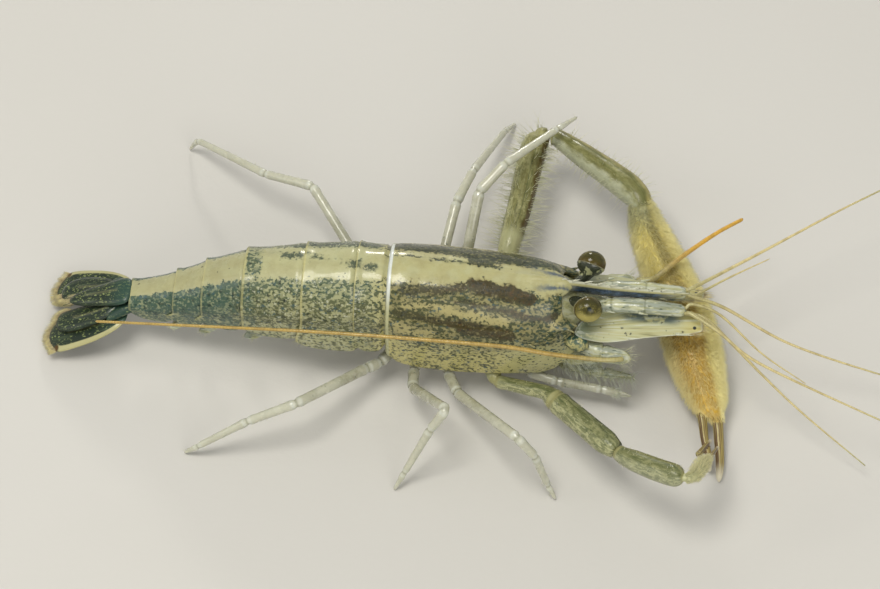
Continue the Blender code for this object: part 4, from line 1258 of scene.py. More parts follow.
def build_carapace():
    """The carapace: crest, eye notches, spines, folded lower margins and a thick rear rim."""
    sizes = bpy.context.scene.prawn_sizes
    girth = girths(sizes.hoops)
    t = np.abs(girth)
    notch = smoothstep(t, 0.08, 0.14) * (1 - smoothstep(t, 0.3, 0.37))
    reach = (0.7 * bump_at(t, 0, 0.05) - 0.55 * notch + 0.85 * bump_at(t, 0.4, 0.022)
             - 1.0 * smoothstep(t, 0.84, 1.0))
    first = body_section(-REAR_EDGE, *table_at(CARAPACE, -REAR_EDGE), girth)
    rows = [swollen(first, *fold) for fold in ((0.9, -2.0), (0.955, -0.3), (0.985, 0.02))]
    for x in (*np.linspace(-5.55, -4.6, 9), *np.linspace(-4.4, 10.8, 92)):
        row = body_section(x, *table_at(CARAPACE, x), girth)
        row[:, 0] += reach * smoothstep(x, 7.6, 10.8)
        row[:, 2] += 0.34 * smoothstep(x, 2.0, 10.0) * bump_at(t, 0.0, 0.028)
        groove = 0.1 * bump_at(t, 0.62 - 0.012 * (x - 2.0), 0.03) * smoothstep(x, 1.0, 4.0)
        row[:, 1] *= 1 - groove * 0.12 + 0.012 * bump_at(x, -5.45, 0.12)
        row[:, 2] += 0.05 * bump_at(x, -5.45, 0.12) * (t < 1)
        rows.append(row)
    rows += [swollen(rows[-1], *fold) for fold in ((0.985, -0.05), (0.955, 0.1), (0.9, 1.2), (0.86, 2.6))]
    skin = Skin().rings(rows, [columns(row[:, 0], girth, 0.0) for row in rows])
    rippled(skin, sizes.ripple)
    for _, sign in SIDES:
        out = np.array((0.85, 0.35 * sign, 0.05))
        for x, g, length in ((10.4, 0.405, 1.3), (7.4, 0.5, 0.8)):
            root = body_section(x, *table_at(CARAPACE, x), np.array([g * sign]))[0]
            cone(skin, root - out * 0.15, root + out * length, 0.2, (x, g * sign, 0.3))
    dress("carapace_shell", skin, "shell", "shell", "carapace")
    core = Skin()
    rows, courses = [], []
    angle = turns(CORE_SIDES)
    for x, middle, high, wide in ((8.6, 8.0, 3.9, 3.5), (10.4, 8.0, 3.7, 3.1), (11.4, 8.1, 3.2, 2.6),
                                  (12.1, 8.0, 2.7, 2.1), (12.7, 7.8, 1.9, 1.4), (13.0, 7.6, 0.7, 0.5)):
        rows.append(columns(x, wide * np.sin(angle), middle + high * np.cos(angle)))
        courses.append(columns(x, np.sin(angle), np.cos(angle)))
    core.rings(rows, courses)
    rippled(core, 0.15 * MM, 0.9)
    dress("head_core", core, "clear", "clear_shell")


def build_abdomen():
    """Six somites, each with a lip that lies over the next and with rounded side flaps."""
    sizes = bpy.context.scene.prawn_sizes
    girth = girths(sizes.hoops)
    t = np.abs(girth)
    shares = (-0.2, -0.05, 0.0, *np.linspace(0.04, 0.95, 26), 0.975, 1.0)
    for number, (front, rear, top_front, top_rear, low, half_front, half_rear) in enumerate(SOMITES, 1):
        wide_flap = number == 2
        pointed = number in (4, 5)
        rows, courses = [], []
        for share in shares:
            x = front + (rear - front) * share - 0.1 * smoothstep(share, 0.9, 1.0)
            inside = max(share, 0.0)
            top = top_front + (top_rear - top_front) * inside
            half = half_front + (half_rear - half_front) * inside
            lobe = 0.9 * abs(2 * inside - 1) ** (4.0 if wide_flap else 2.6)
            row = body_section(x, top, low + lobe, half, 0.0, girth)
            sides = t < 1.15
            row[:, 0] -= (share - 0.5) * 2 * smoothstep(t, 0.55, 0.95) * sides * 0.55 * wide_flap
            row[:, 0] -= max(share - 0.5, 0.0) * 1.3 * smoothstep(t, 0.72, 1.0) * sides * pointed
            row[:, 1] *= 1 + 0.045 * wide_flap * smoothstep(t, 0.5, 0.85)
            grow = 0.955 + 0.045 * smoothstep(share, 0.0, 0.12) + 0.012 * smoothstep(share, 0.8, 0.97)
            rows.append(swollen(row, grow))
            courses.append(columns(row[:, 0], girth, share))
        lip = [swollen(rows[-1], 0.988, 0.03)]
        lip += [swollen(lip[0], *fold) for fold in ((0.965, -0.12), (0.93, -0.9))]
        courses += [columns(row[:, 0], girth, 0.99) for row in lip]
        skin = Skin().rings(rows + lip, courses)
        rippled(skin, sizes.ripple)
        slot = "shell" if number < 4 else "rear_shell"
        dress("somite_%d" % number, skin, "shell", slot, "abdomen_%d" % number)


def tail_place(level):
    """Where a tail blade lies: its root, its slope to the rear and its level in the stack."""
    root = Vector(TAIL_ROOT) - Vector((0, 0, BLADE_STEP * level))
    pitch = Matrix.Rotation(-TAIL_PITCH, 4, "Y")
    return Matrix.Translation(root) @ pitch @ Matrix.Rotation(math.pi, 4, "Z")


def blade_hairs(blade, place, chosen, rng, per_mm, lean=0.9):
    """Roots, directions and marks of hairs that stand out from a blade's chosen edge points."""
    edge, middle = blade
    index = np.flatnonzero(chosen)
    total = int(len(index) * EDGE_STEP * per_mm)
    pick = index[rng.integers(0, len(index), total)]
    share = rng.random(total)[:, None]
    flat = edge[pick] * (1 - share) + edge[(pick + 1) % len(edge)] * share
    out = unit(edge[pick] - middle[pick]) + np.array((lean, 0.0))
    out = unit(out + rng.normal(0, 0.1, out.shape))
    height = rng.normal(0.0, 0.05, total)
    turn = np.array(place.to_3x3()).T
    roots = np.column_stack((flat - out * HAIR_DEPTH, height)) @ turn + np.array(place.translation)
    directions = np.column_stack((out, rng.normal(0.0, 0.05, total))) @ turn
    return roots, directions, flat


def inner_edge(blade):
    """Which of a blade's edge points lie on its side towards the body."""
    return np.abs(blade.edge[:, 1]) <= np.abs(blade.middle[:, 1])


def joined(groups):
    """Several groups of hairs as one."""
    return [np.concatenate(parts) for parts in zip(*groups)]


def build_tail():
    """The telson over two pairs of blades, with fringes of hairs round their rear edges."""
    fringe = bpy.context.scene.prawn_sizes.fringe / MM
    rng = seeded(11)
    skin = Skin()
    place = tail_place(0)
    shape = [(along, across * (1.06 if along < 4 else 1.0)) for along, across in TELSON]
    blade = lens_blade(skin, shape, place, 0.52, 0.12, 0.08)
    for along, across in ((2.6, 0.62), (4.2, 0.42)):
        for sign in (1, -1):
            root, tip = ((along, sign * across, 0.22), (along + 0.45, sign * across, 0.36))
            cone(skin, place @ Vector(root), place @ Vector(tip), 0.07, (along, across, 0.5))
    for sign in (1, -1):
        root, tip = ((5.9, 0.3 * sign, 0), (7.0, 0.42 * sign, -0.05))
        cone(skin, place @ Vector(root), place @ Vector(tip), 0.09, (6.0, 0.3, 0.5))
    dress("telson_blade", skin, "fan", "tail_fan", "telson")
    hairs = [blade_hairs(blade, place, blade.edge[:, 0] > 5.9, rng, 30, 1.4)]
    for kind, outline, level, pulled in (("endopod", ENDOPOD, 1, 0.45), ("exopod", EXOPOD, 2, 0.75)):
        place = tail_place(level)
        for side, sign in SIDES:
            shape = [(along - pulled * fringe / 0.95 * float(smoothstep(along, 5.0, 8.6)),
                      -sign * (across - 0.25 * (across < 1.8))) for along, across in outline]
            skin = Skin()
            blade = lens_blade(skin, shape, place, 0.42, 0.14, 0.1)
            along = blade.edge[:, 0]
            chosen = (along > 6.2) & inner_edge(blade)
            if kind == "exopod":
                root, tip = (6.4, -sign * 4.15, 0.05), (7.5, -sign * 4.35, 0.0)
                cone(skin, place @ Vector(root), place @ Vector(tip), 0.14, (7.1, 4.2, 0.5))
                chosen = (along > 7.0) | ((along > 6.0) & inner_edge(blade))
            name = "%s_%s" % (kind, side)
            dress("tail_%s_blade_%s" % (kind, side), skin, "fan", "tail_fan", "tail_" + name)
            hairs.append(blade_hairs(blade, place, chosen, rng, 120))
    roots, directions, flat = joined(hairs)
    lengths = fringe * rng.uniform(0.82, 1.0, len(roots))
    grow_hairs("tail_fringe", roots, directions, lengths, flat, "fringe", "tail_fan", 0.026,
               np.array((-0.1, 0.0, -0.03)), roots[:, :2])
    skin = Skin()
    for sign in (1, -1):
        root = ((-29.5, 0.8, 5.2, 0.7), (-30.6, 1.3, 4.85, 0.72), (-32.2, 2.3, 4.2, 0.35))
        add_limb(skin, mirrored(root, sign), 22, (), depth=0.6, round_end=2.0)
    add_limb(skin, ((-29.5, 0, 5.75, 0.9), (-30.5, 0, 5.6, 0.95), (-31.8, 0, 5.2, 0.5)), 22, (), depth=0.5)
    skin.courses = [(0.8, 1.0, 0.5)] * len(skin.points)
    dress("tail_fan_roots", skin, "fan", "tail_fan")


def build_rostrum():
    """The rostrum: a thin keel with a ridge along each side and rows of teeth above and below."""
    angle = (np.arange(ROSTRUM_SIDES) + 0.5) / ROSTRUM_SIDES * math.tau
    height = np.sign(np.cos(angle)) * np.abs(np.cos(angle)) ** 0.8
    across = np.sign(np.sin(angle)) * np.abs(np.sin(angle)) ** 1.7
    across = across * (0.62 + 0.38 * bump_at(height, -0.05, 0.3))
    rows, courses = [], []
    for x in np.linspace(8.6, 22.0, 90):
        upper, lower, half = table_at(ROSTRUM, x)
        rows.append(columns(x, half * across, (upper + lower) / 2 + (upper - lower) / 2 * height))
        courses.append(columns(x, height, 0.0))
    skin = Skin().rings(rows, courses)
    for k in range(11):
        x = 8.9 + 1.17 * k
        upper = table_at(ROSTRUM, x)[0]
        cone(skin, (x, 0, upper - 0.1), (x + 0.7, 0, upper + 0.26), 0.1, (x, 0.9, 0.8),
             bend=(-0.02, 0, 0.05))
    for x in (14.6, 17.0, 19.3):
        lower = table_at(ROSTRUM, x)[1]
        cone(skin, (x, 0, lower + 0.12), (x + 0.75, 0, lower - 0.28), 0.14, (x, -0.9, 0.6))
    dress("rostrum_keel", skin, "rostrum", "shell", "rostrum")


def around(axis, sides):
    """Directions square to an axis, all round it."""
    first = unit(np.cross(axis, UP))
    return outward(first, np.cross(axis, first), turns(sides)[:, None])


def build_eyes():
    """Two globes that look outwards, each held in the cup of its short stalk."""
    for side, sign in SIDES:
        middle = np.array(EYE_PLACE) * np.array((1, sign, 1))
        root = np.array(EYESTALK_ROOT) * np.array((1, sign, 1))
        axis = unit((0.28, 0.86 * sign, 0.42))
        spot = unit((0.08, 0.56 * sign, 0.83))
        start, end = 0.02, math.radians(108)
        rows, courses = [], []
        for polar in np.linspace(start, end, 26):
            out = axis * math.cos(polar) + around(axis, EYE_SIDES) * math.sin(polar)
            rows.append(middle + out * np.array(EYE))
            far = np.linalg.norm(out - spot, axis=1)
            courses.append(columns(turns(EYE_SIDES) / math.tau, (polar - start) / (end - start), far))
        dress("cornea_" + side, Skin().rings(rows, courses), "cornea", "cornea", "eye_" + side)

        rows, shares = [], []
        for share, polar, grow in ((0.0, 98, 0.985), (0.04, 99, 1.025), (0.1, 104, 1.035),
                                   (0.25, 118, 1.02), (0.45, 134, 1.0), (0.6, 148, 0.98)):
            polar = math.radians(polar)
            out = axis * math.cos(polar) + around(axis, STALK_SIDES) * math.sin(polar)
            rows.append(middle + out * np.array(EYE) * grow)
            shares.append(share)
        for t in (0.35, 0.7, 1.0):
            centre = (middle - axis * 1.15) * (1 - t) + root * t
            rows.append(centre + around(axis, STALK_SIDES) * (0.52 + 0.08 * t))
            shares.append(0.6 + 0.4 * t)
        courses = [columns(turns(STALK_SIDES) / math.tau, share, 1.0) for share in shares]
        dress("eye_cup_" + side, Skin().rings(rows, courses), "stalk", "shell", "eyestalk_" + side)


def build_feeler_bases():
    """Stalks of both pairs of feelers, with their spines and joints."""
    for side, sign in SIDES:
        skin = Skin()
        add_limb(skin, mirrored(ANTENNULE_STALK, sign), 26, (2, 3), 0.09, 0.03, depth=0.85)
        cone(skin, *mirrored(((12.0, 1.55, 9.9), (14.4, 2.15, 10.35)), sign), 0.24, (12.0, 0.5, 0.5))
        for x, half in ((15.0, 0.66), (18.0, 0.62)):
            spine = ((x - 0.5, 1.3 + half * 0.7, 11.1), (x + 0.35, 1.35 + half, 11.15))
            cone(skin, *mirrored(spine, sign), 0.15, (x, 0.5, 0.5))
        dress("antennule_base_" + side, skin, "clear", "clear_shell", "antennule_stalk_" + side)
        skin = Skin()
        add_limb(skin, mirrored(ANTENNA_STALK, sign), 26, (1,), 0.14, 0.08, round_end=1.8)
        swelling = ((11.2, 2.3, 7.1, 0.95), (12.3, 2.9, 7.2, 1.02), (12.9, 3.2, 7.2, 0.9))
        add_limb(skin, mirrored(swelling, sign), 26, (1,), 0.06, 0.05)
        cone(skin, *mirrored(((12.1, 3.6, 7.5), (13.7, 4.3, 7.6)), sign), 0.26, (12.0, 0.5, 0.5))
        dress("antenna_base_" + side, skin, "clear", "shell", "antenna_stalk_" + side)
        skin = Skin()
        knob = ((11.2, 3.2, 8.0, 0.65), (12.2, 3.6, 8.15, 0.9), (13.1, 3.9, 8.0, 0.75))
        add_limb(skin, mirrored(knob, sign), 28, (), depth=0.9)
        dress("antenna_knob_" + side, skin, "knob", "shell")


def build_scales():
    """The broad scales under the feelers' stalks, with hairs round their inner edge and tip."""
    rng = seeded(21)
    hairs = []
    for side, sign in SIDES:
        skin = Skin()
        place = Matrix.Translation(Vector(SCALE_ROOT)) @ Matrix.Rotation(-SCALE_ROLL * sign, 4, "X")
        blade = lens_blade(skin, mirrored(SCALE, sign), place, 0.2, 0.04, 0.12)
        root, tip = (9.2, 2.72 * sign, 0.0), (10.9, 2.72 * sign, 0.0)
        cone(skin, place @ Vector(root), place @ Vector(tip), 0.14, (9.5, 2.9, 0.95))
        dress("antennal_scale_blade_" + side, skin, "scale", "clear_shell", "antennal_scale_" + side)
        along = blade.edge[:, 0]
        chosen = (along > 10.6) | ((along > 5.0) & inner_edge(blade))
        hairs.append(blade_hairs(blade, place, chosen, rng, 26))
    roots, directions, flat = joined(hairs)
    lengths = rng.uniform(0.6, 1.0, len(roots)) * (0.45 + 0.75 * smoothstep(flat[:, 0], 8.0, 11.0))
    grow_hairs("scale_fringe", roots, directions, lengths, flat, "fringe", "clear_shell", 0.022,
               spread=roots[:, :2])


def build_feelers():
    """The long whips: two antennae and six branches of the antennules."""
    for name, (root, tip, points) in FEELERS.items():
        line = spline(points, 0.16)
        along = distance_along(line)
        share = along / along[-1]
        radii = (root + (tip - root) * share ** 0.8) * (1 + 0.012 * np.sin(along * math.tau / 0.32))
        radii[-1] *= 0.4
        pale = name.startswith("antennule")
        skin = Skin().rings(*hoops(line, radii, 8 if pale else 10, along))
        key = "whip" if pale else "gold" if name.endswith("right") else "orange"
        dress(name + "_whip", skin, key, "feeler_pale" if pale else "feeler_gold", name)


def limb_hairs(limb, total, rng, start, end, length, toward=None, spread=0.35, forward=0.35):
    """Roots, directions, lengths and marks of bristles that stand out from a limb."""
    points, along, radii = limb
    course, across, upward = axes_along(points)
    at = rng.uniform(start, end, total)
    k = np.searchsorted(along, at).clip(0, len(points) - 1)
    angle = rng.uniform(0, math.tau, total)
    if toward is not None:
        angle = np.where(rng.random(total) < 0.5, toward[0], toward[1]) + rng.normal(0, spread, total)
    out = outward(across[k], upward[k], angle[:, None])
    roots = points[k, :3] + out * radii[k, None] * 0.93
    directions = unit(out + course[k] * forward + rng.normal(0, 0.16, (total, 3)))
    lengths = length * rng.uniform(0.35, 1.0, total)
    return roots, directions, lengths, np.column_stack((at, angle % math.tau))


def show_hairs(name, groups, key, slot, radius, bend=0.16):
    """Grow several groups of bristles as one piece."""
    roots, directions, lengths, marks = joined(groups)
    sweep = seeded(5).normal(0, bend, (len(roots), 3))
    keep = (roots[:, 2] + directions[:, 2] * lengths) > 0.15
    grow_hairs(name, roots[keep], directions[keep], lengths[keep], marks[keep], key, slot, radius,
               sweep[keep])


def build_mouth():
    """Outer mouth legs with their brushes, and the small claws beside them."""
    rng = seeded(31)
    groups = []
    for side, sign in SIDES:
        skin = Skin()
        limb = add_limb(skin, mirrored(MAXILLIPED, sign), 20, None, 0.2, 0.08)
        dress("mouth_leg_" + side, skin, "clear", "clear_shell", "maxilliped_" + side)
        inwards = 0.0 if sign < 0 else math.pi
        groups.append(limb_hairs(limb, 460, rng, 1.0, limb.along[-1], 1.7, (inwards, 1.2), 0.9, 0.5))
        skin = Skin()
        inner = ((10.6, 1.0, 5.0, 0.9), (12.0, 1.5, 4.9, 1.0), (13.2, 1.7, 5.3, 0.7), (13.9, 1.6, 5.8, 0.35))
        outer = ((9.4, 2.6, 5.2, 0.7), (11.3, 3.1, 5.0, 0.8), (12.8, 3.3, 5.2, 0.6), (14.2, 3.5, 5.0, 0.3))
        for lump in (inner, outer):
            limb = add_limb(skin, mirrored(lump, sign), 22, (1, 2), 0.12, 0.05)
        groups.append(limb_hairs(limb, 260, rng, 1.5, limb.along[-1], 1.1, forward=1.1))
        dress("mouth_parts_" + side, skin, "clear", "clear_shell")
        joints = SMALL_CLAWS["small_claw_" + side]
        skin = Skin()
        limb = add_limb(skin, joints, 18, (1, 2, 3), 0.2, 0.08)
        length = limb.along[-1]
        end, before = np.array(joints[-1][:3]), np.array(joints[-2][:3])
        course = unit(end - before)
        for lift in (0.16, -0.16):
            start = end + UP * lift
            cone(skin, start - course * 0.2, start + course * 1.05 - UP * lift * 0.7, 0.2, (length, 0, 0),
                 bend=UP * lift * 0.4)
        dress("small_claw_limb_" + side, skin, "leg", "leg", "small_claw_" + side)
        groups.append(limb_hairs(limb, 90, rng, length - 1.0, length, 0.8, forward=1.3))
    show_hairs("mouth_brushes", groups, "brush", "clear_shell", 0.024, 0.35)
    for side, sign in SIDES:
        points, along = limb_line(mirrored(ANTENNA_STALK, sign))
        limb = Limb(points, along, points[:, 3])
        group = limb_hairs(limb, 46, seeded(33), along[-1] - 1.4, along[-1], 1.7, forward=1.2)
        show_hairs("antenna_base_bristles_" + side, [group], "bristle", "shell", 0.022)


def build_arms():
    """The unlike arms up to their wrists, with bristles along the big one."""
    longest = bpy.context.scene.prawn_sizes.bristle / MM
    rng = seeded(41)
    groups = []
    edges = (0.1, math.pi - 0.1)
    for name, joints, key, breaks, flip, blunt in (
            ("big_arm", BIG_ARM, "big arm", (1, 5), -1, 0.3), ("big_wrist", BIG_WRIST, "big arm", (), 1, 0.3),
            ("second_arm", SECOND_ARM, "second arm", (1, 3), 1, 0.3),
            ("second_wrist", SECOND_WRIST, "second arm", (), 1, 1.2)):
        skin = Skin()
        limb = add_limb(skin, joints, 32, breaks, 0.2, 0.05, round_end=blunt)
        end = limb.along[-1]
        for course in skin.courses:
            course[1] *= flip
        if name.endswith("wrist"):
            skin.near = [min(near, course[0] + 0.12, end - course[0] + 0.2)
                         for near, course in zip(skin.near, skin.courses)]
            for course in skin.courses:
                course[0] += WRIST_START
        dress(name + "_limb", skin, key, "arm", name)
        if name == "big_arm":
            groups.append(limb_hairs(limb, 420, rng, 6.5, end - 0.6, longest, edges, 0.3, 0.05))
            groups.append(limb_hairs(limb, 160, rng, 5.5, end, longest * 0.5, forward=0.15))
        elif name == "big_wrist":
            groups.append(limb_hairs(limb, 150, rng, 1.0, end, longest * 0.6, edges, 0.45, 0.1))
        else:
            start = 4.0 if name == "second_arm" else 0.5
            groups.append(limb_hairs(limb, 120, rng, start, end, longest * 0.2))
    show_hairs("arm_bristles", groups, "bristle", "arm", 0.028, 0.14)


def velvet_depth(share, until):
    """How deep the velvet stands along a claw, as a share of its greatest depth."""
    return (0.3 + 0.7 * smoothstep(share, 0.0, 0.12)) * (1 - smoothstep(share, until - 0.13, until + 0.01))


def build_claw(name, table, thumb, inset, until, total, seed, hair, slim=1.0):
    """A palm that runs out into its fixed finger, the moving finger, and the velvet over the palm."""
    line = spline(table, 0.25)
    line[:, 3] *= slim
    share = distance_along(line)
    share = share / share[-1]
    line[:, 3] = np.maximum(line[:, 3] - inset * velvet_depth(share, until), 0.12)
    depth = PALM_DEPTH + (1 - PALM_DEPTH) * smoothstep(share, until, until + 0.06)
    tip = 1 - np.clip((1 - share) * 40, 0, 1)
    marked = np.interp(share, (0.0, until, 1.0), (0.0, 0.78, 1.0))
    radii = line[:, 3] * np.sqrt(np.clip(1 - tip ** 2, 0.05, 1))
    rows, courses = hoops(line, radii, PALM_SIDES, marked, depth)
    rows[..., 2] = np.maximum(rows[..., 2], 0.0)
    dress(name + "_palm_skin", Skin().rings(rows, courses), name + " palm", "velvet", name + "_palm")
    skin = Skin()
    points, along, _ = add_limb(skin, thumb, 20, ())
    for course in skin.courses:
        course[0] = 0.79 + 0.21 * course[0] / along[-1]
    for k in range(4):
        at = points[int(len(points) * (0.15 + 0.14 * k)), :3]
        cone(skin, at, at + AHEAD * 0.42, 0.1, (0.8, 0, 0))
    dress(name + "_finger_limb", skin, name + " palm", "finger", name + "_finger")

    rng = seeded(seed)
    weight = line[:, 3] * (share < until + 0.01)
    pick = np.clip(np.searchsorted(np.cumsum(weight) / weight.sum(), rng.random(total)), 1, len(line) - 2)
    angle = rng.uniform(0, math.tau, total)[:, None]
    course, across, upward = (axis[pick] for axis in axes_along(line))
    between = rng.random(total)[:, None]
    middle = line[pick] * (1 - between) + line[pick + 1] * between
    roots = middle[:, :3] + outward(across, upward, angle, PALM_DEPTH) * middle[:, 3:] * 0.98
    normal = unit(outward(across * PALM_DEPTH, upward, angle))
    late = smoothstep(share[pick], until - 0.22, until)[:, None]
    directions = normal * (0.85 - 0.45 * late) + course * (0.5 + 0.25 * late)
    directions = unit(directions + rng.normal(0, 0.13, (total, 3)))
    lengths = hair * rng.uniform(0.75, 1.08, total) * (0.35 + 0.65 * velvet_depth(share[pick], until))
    sweep = course * 0.14 + rng.normal(0, 0.06, (total, 3))
    keep = (roots + directions * lengths[:, None])[:, 2] > 0.2
    marks = np.column_stack((marked[pick], angle / math.tau))
    radius = bpy.context.scene.prawn_sizes.hair / MM
    grow_hairs(name + "_velvet", roots[keep], directions[keep], lengths[keep], marks[keep],
               name + " velvet", "velvet", radius, sweep[keep])


def build_claws():
    """The big velvety claw and the small, slender one."""
    sizes = bpy.context.scene.prawn_sizes
    hair = sizes.velvet / MM
    count = sizes.velvet_count
    build_claw("big", BIG_PALM, BIG_THUMB, 0.62 * hair / 0.95, 0.79, count, 51, hair)
    build_claw("second", SECOND_PALM, SECOND_THUMB, 0.08, 0.62, count // 12, 52, hair * 0.55, 0.72)


def build_legs():
    """Six walking legs with fine claws and a few hairs."""
    rng = seeded(61)
    groups = []
    for name, joints in WALKING_LEGS.items():
        skin = Skin()
        limb = add_limb(skin, joints, 16, None, 0.22, 0.08)
        dress(name + "_limb", skin, "leg", "leg", name)
        groups.append(limb_hairs(limb, 110, rng, 5.0, limb.along[-1] - 0.4, 0.55, forward=0.7))
    show_hairs("leg_hairs", groups, "bristle", "leg", 0.016, 0.1)


def build_swimmerets():
    """Ten swimming legs, each a stem with two fringed leaves."""
    rng = seeded(71)
    hairs = []
    for number, (x, root, foot, size) in enumerate(PLEOPODS, start=1):
        fall = math.atan2(root - foot, 3.0 * size)
        for side, sign in SIDES:
            skin = Skin()
            stem = mirrored(((x + 0.1, 1.5, root + 0.5, 0.42 * size),
                             (x - 0.5 * size, 1.6, root - 0.3, 0.4 * size),
                             (x - 1.1 * size, 1.7, (root + foot) / 2 + 0.1, 0.36 * size)), sign)
            add_limb(skin, stem, 14, (1,), 0.15, 0.05)
            for spread, scale in ((0.45, size), (-0.25, size * 0.82)):
                leaf = [(a * scale, b * scale) for a, b in LEAF]
                foot_end = Vector(stem[-1][:3]) + Vector((0.1, spread * size * 0.5 * sign, 0))
                place = (Matrix.Translation(foot_end)
                         @ Matrix.Rotation(math.pi - spread * 0.35 * sign, 4, "Z")
                         @ Matrix.Rotation(fall * 0.75, 4, "Y") @ Matrix.Rotation(0.5 * sign, 4, "X"))
                blade = lens_blade(skin, leaf, place, 0.16, 0.03, rings=5)
                hairs.append(blade_hairs(blade, place, blade.edge[:, 0] > size, rng, 9, 0.7))
            name = "%d_%s" % (number, side)
            dress("swimmeret_leaf_" + name, skin, "clear", "leg", "swimmeret_" + name)
    roots, directions, flat = joined(hairs)
    keep = (roots[:, 2] + directions[:, 2] * 0.6) > 0.3
    roots = roots[keep]
    grow_hairs("swimmeret_fringes", roots, directions[keep], np.full(len(roots), 0.55), flat[keep],
               "bristle", "leg", 0.022, spread=roots[:, :2])


# Camera: looks down from the right side; the view's axes in the row's frame
CAMERA_BACK = Vector((0.0487, -0.5571, 0.829))
CAMERA_RIGHT = Vector((0.9962, 0.0872, 0.0))
CAMERA_UP = Vector((-0.0723, 0.8259, 0.5592))
CAMERA_AIM = Vector((-0.9267, -0.0811, 7.5)) + CAMERA_UP * 0.9767
CAMERA_DISTANCE = 306.98
CAMERA_LENS = 135.0
FLOOR_SIZE = 4000.0
FLOOR_CELLS = 4
# Lights: place, size and power
LIGHTS = {"key": ((-90, -60, 420), 170, 1.05), "fill": ((170, -360, 250), 280, 0.62),
          "rim": ((-40, 380, 170), 50, 0.3), "side": ((-380, -60, 220), 200, 0.2)}
LIGHT_COLOUR = (1.0, 0.97, 0.9)


def build_stage():
    """A plain pale floor, soft studio light and the camera."""
    scene = bpy.context.scene
    count = FLOOR_CELLS + 1
    lines = np.linspace(-FLOOR_SIZE / 2, FLOOR_SIZE / 2, count)
    faces = [(k, k + 1, k + count + 1, k + count) for k in range(count * FLOOR_CELLS)
             if k % count < FLOOR_CELLS]
    mesh = to_mesh("floor", [(x, y, 0.0) for y in lines for x in lines], faces)
    mesh.materials.append(finish_of("floor"))
    floor = bpy.data.objects.new("floor", mesh)
    scene.collection.objects.link(floor)

    world = bpy.data.worlds.new("studio")
    world.use_nodes = True
    background = world.node_tree.nodes["Background"].inputs
    background["Color"].default_value = (0.94, 0.94, 0.92, 1.0)
    background["Strength"].default_value = 0.4
    scene.world = world
    scene.view_settings.view_transform = "Standard"
    for name, (place, size, power) in LIGHTS.items():
        light = bpy.data.lights.new(name, "AREA")
        light.size = size * MM
        light.energy = power
        light.color = LIGHT_COLOUR
        lamp = bpy.data.objects.new(name, light)
        lamp.location = (Vector(place) + SHIFT) * MM
        lamp.rotation_euler = (-Vector(place)).to_track_quat("-Z", "Y").to_euler()
        scene.collection.objects.link(lamp)

    lens = bpy.data.cameras.new("camera")
    lens.lens = CAMERA_LENS
    lens.sensor_width = 36.0
    lens.clip_start = 0.01
    lens.clip_end = 20.0
    camera = bpy.data.objects.new("camera", lens)
    axes = Matrix((CAMERA_RIGHT, CAMERA_UP, CAMERA_BACK)).transposed()
    eye = (CAMERA_AIM + CAMERA_BACK * CAMERA_DISTANCE + SHIFT) * MM
    camera.matrix_world = Matrix.Translation(eye) @ axes.to_4x4()
    scene.collection.objects.link(camera)
    scene.camera = camera


# ---------------------------------------------------------------- operators and panel
class PRAWN_OT_carapace(bpy.types.Operator):
    """Build the carapace and the core of the head"""
    bl_idname = "prawn.carapace"
    bl_label = "Carapace"
    bl_options = {"REGISTER", "UNDO"}

    def execute(self, context):
        build_carapace()
        return {"FINISHED"}


class PRAWN_OT_abdomen(bpy.types.Operator):
    """Build the six somites of the abdomen"""
    bl_idname = "prawn.abdomen"
    bl_label = "Abdomen"
    bl_options = {"REGISTER", "UNDO"}

    def execute(self, context):
        build_abdomen()
        return {"FINISHED"}


class PRAWN_OT_tail(bpy.types.Operator):
    """Build the tail fan and its fringe"""
    bl_idname = "prawn.tail"
    bl_label = "Tail Fan"
    bl_options = {"REGISTER", "UNDO"}

    def execute(self, context):
        build_tail()
        return {"FINISHED"}


class PRAWN_OT_rostrum(bpy.types.Operator):
    """Build the rostrum with its teeth"""
    bl_idname = "prawn.rostrum"
    bl_label = "Rostrum"
    bl_options = {"REGISTER", "UNDO"}

    def execute(self, context):
        build_rostrum()
        return {"FINISHED"}


class PRAWN_OT_eyes(bpy.types.Operator):
    """Build the eyes and their stalks"""
    bl_idname = "prawn.eyes"
    bl_label = "Eyes"
    bl_options = {"REGISTER", "UNDO"}

    def execute(self, context):
        build_eyes()
        return {"FINISHED"}


class PRAWN_OT_feelers(bpy.types.Operator):
    """Build the stalks, scales and whips of the feelers"""
    bl_idname = "prawn.feelers"
    bl_label = "Feelers"
    bl_options = {"REGISTER", "UNDO"}

    def execute(self, context):
        build_feeler_bases()
        build_scales()
        build_feelers()
        return {"FINISHED"}


class PRAWN_OT_mouth(bpy.types.Operator):
    """Build the mouth legs and the small claws"""
    bl_idname = "prawn.mouth"
    bl_label = "Mouth"
    bl_options = {"REGISTER", "UNDO"}

    def execute(self, context):
        build_mouth()
        return {"FINISHED"}


class PRAWN_OT_arms(bpy.types.Operator):
    """Build the two unlike arms"""
    bl_idname = "prawn.arms"
    bl_label = "Arms"
    bl_options = {"REGISTER", "UNDO"}

    def execute(self, context):
        build_arms()
        return {"FINISHED"}


class PRAWN_OT_claws(bpy.types.Operator):
    """Build the palms, the fingers and the velvet"""
    bl_idname = "prawn.claws"
    bl_label = "Claws"
    bl_options = {"REGISTER", "UNDO"}

    def execute(self, context):
        build_claws()
        return {"FINISHED"}


class PRAWN_OT_legs(bpy.types.Operator):
    """Build the walking legs"""
    bl_idname = "prawn.legs"
    bl_label = "Walking Legs"
    bl_options = {"REGISTER", "UNDO"}

    def execute(self, context):
        build_legs()
        return {"FINISHED"}


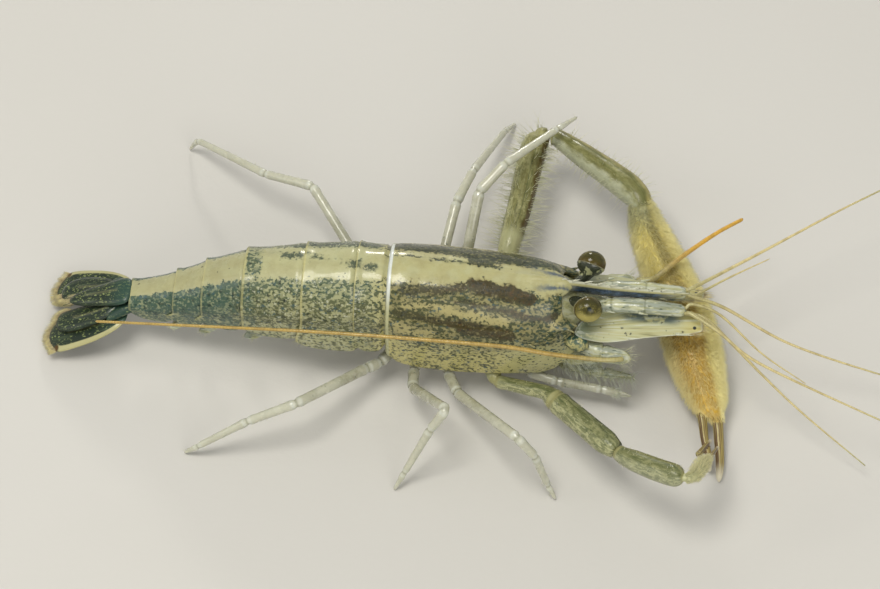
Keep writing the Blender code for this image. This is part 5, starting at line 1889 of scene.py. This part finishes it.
class PRAWN_OT_swimmerets(bpy.types.Operator):
    """Build the swimming legs"""
    bl_idname = "prawn.swimmerets"
    bl_label = "Swimming Legs"
    bl_options = {"REGISTER", "UNDO"}

    def execute(self, context):
        build_swimmerets()
        return {"FINISHED"}


class PRAWN_OT_stage(bpy.types.Operator):
    """Build the floor, the lights and the camera"""
    bl_idname = "prawn.stage"
    bl_label = "Stage"
    bl_options = {"REGISTER", "UNDO"}

    def execute(self, context):
        build_stage()
        return {"FINISHED"}


OPERATORS = (PRAWN_OT_carapace, PRAWN_OT_abdomen, PRAWN_OT_tail, PRAWN_OT_rostrum, PRAWN_OT_eyes,
             PRAWN_OT_feelers, PRAWN_OT_mouth, PRAWN_OT_arms, PRAWN_OT_claws, PRAWN_OT_legs,
             PRAWN_OT_swimmerets, PRAWN_OT_stage)


class PRAWN_PT_pieces(bpy.types.Panel):
    """The prawn's pieces, sizes and colours"""
    bl_idname = "PRAWN_PT_pieces"
    bl_label = "River Prawn"
    bl_space_type = "VIEW_3D"
    bl_region_type = "UI"
    bl_category = "Prawn"

    def draw(self, context):
        layout = self.layout
        for operator in OPERATORS:
            layout.operator(operator.bl_idname)
        for group in (context.scene.prawn_sizes, context.scene.prawn_colours):
            for name in group.__annotations__:
                layout.prop(group, name)


CLASSES = (PrawnColours, PrawnSizes, *OPERATORS, PRAWN_PT_pieces)


def register():
    """Add the classes and the scene's settings."""
    for cls in CLASSES:
        bpy.utils.register_class(cls)
    bpy.types.Scene.prawn_colours = bpy.props.PointerProperty(type=PrawnColours)
    bpy.types.Scene.prawn_sizes = bpy.props.PointerProperty(type=PrawnSizes)


def unregister():
    """Take away what register added."""
    del bpy.types.Scene.prawn_sizes
    del bpy.types.Scene.prawn_colours
    for cls in reversed(CLASSES):
        bpy.utils.unregister_class(cls)


def main():
    """Build every piece in order."""
    register()
    for operator in OPERATORS:
        group, name = operator.bl_idname.split(".")
        getattr(getattr(bpy.ops, group), name)()


if __name__ == "__main__":
    main()
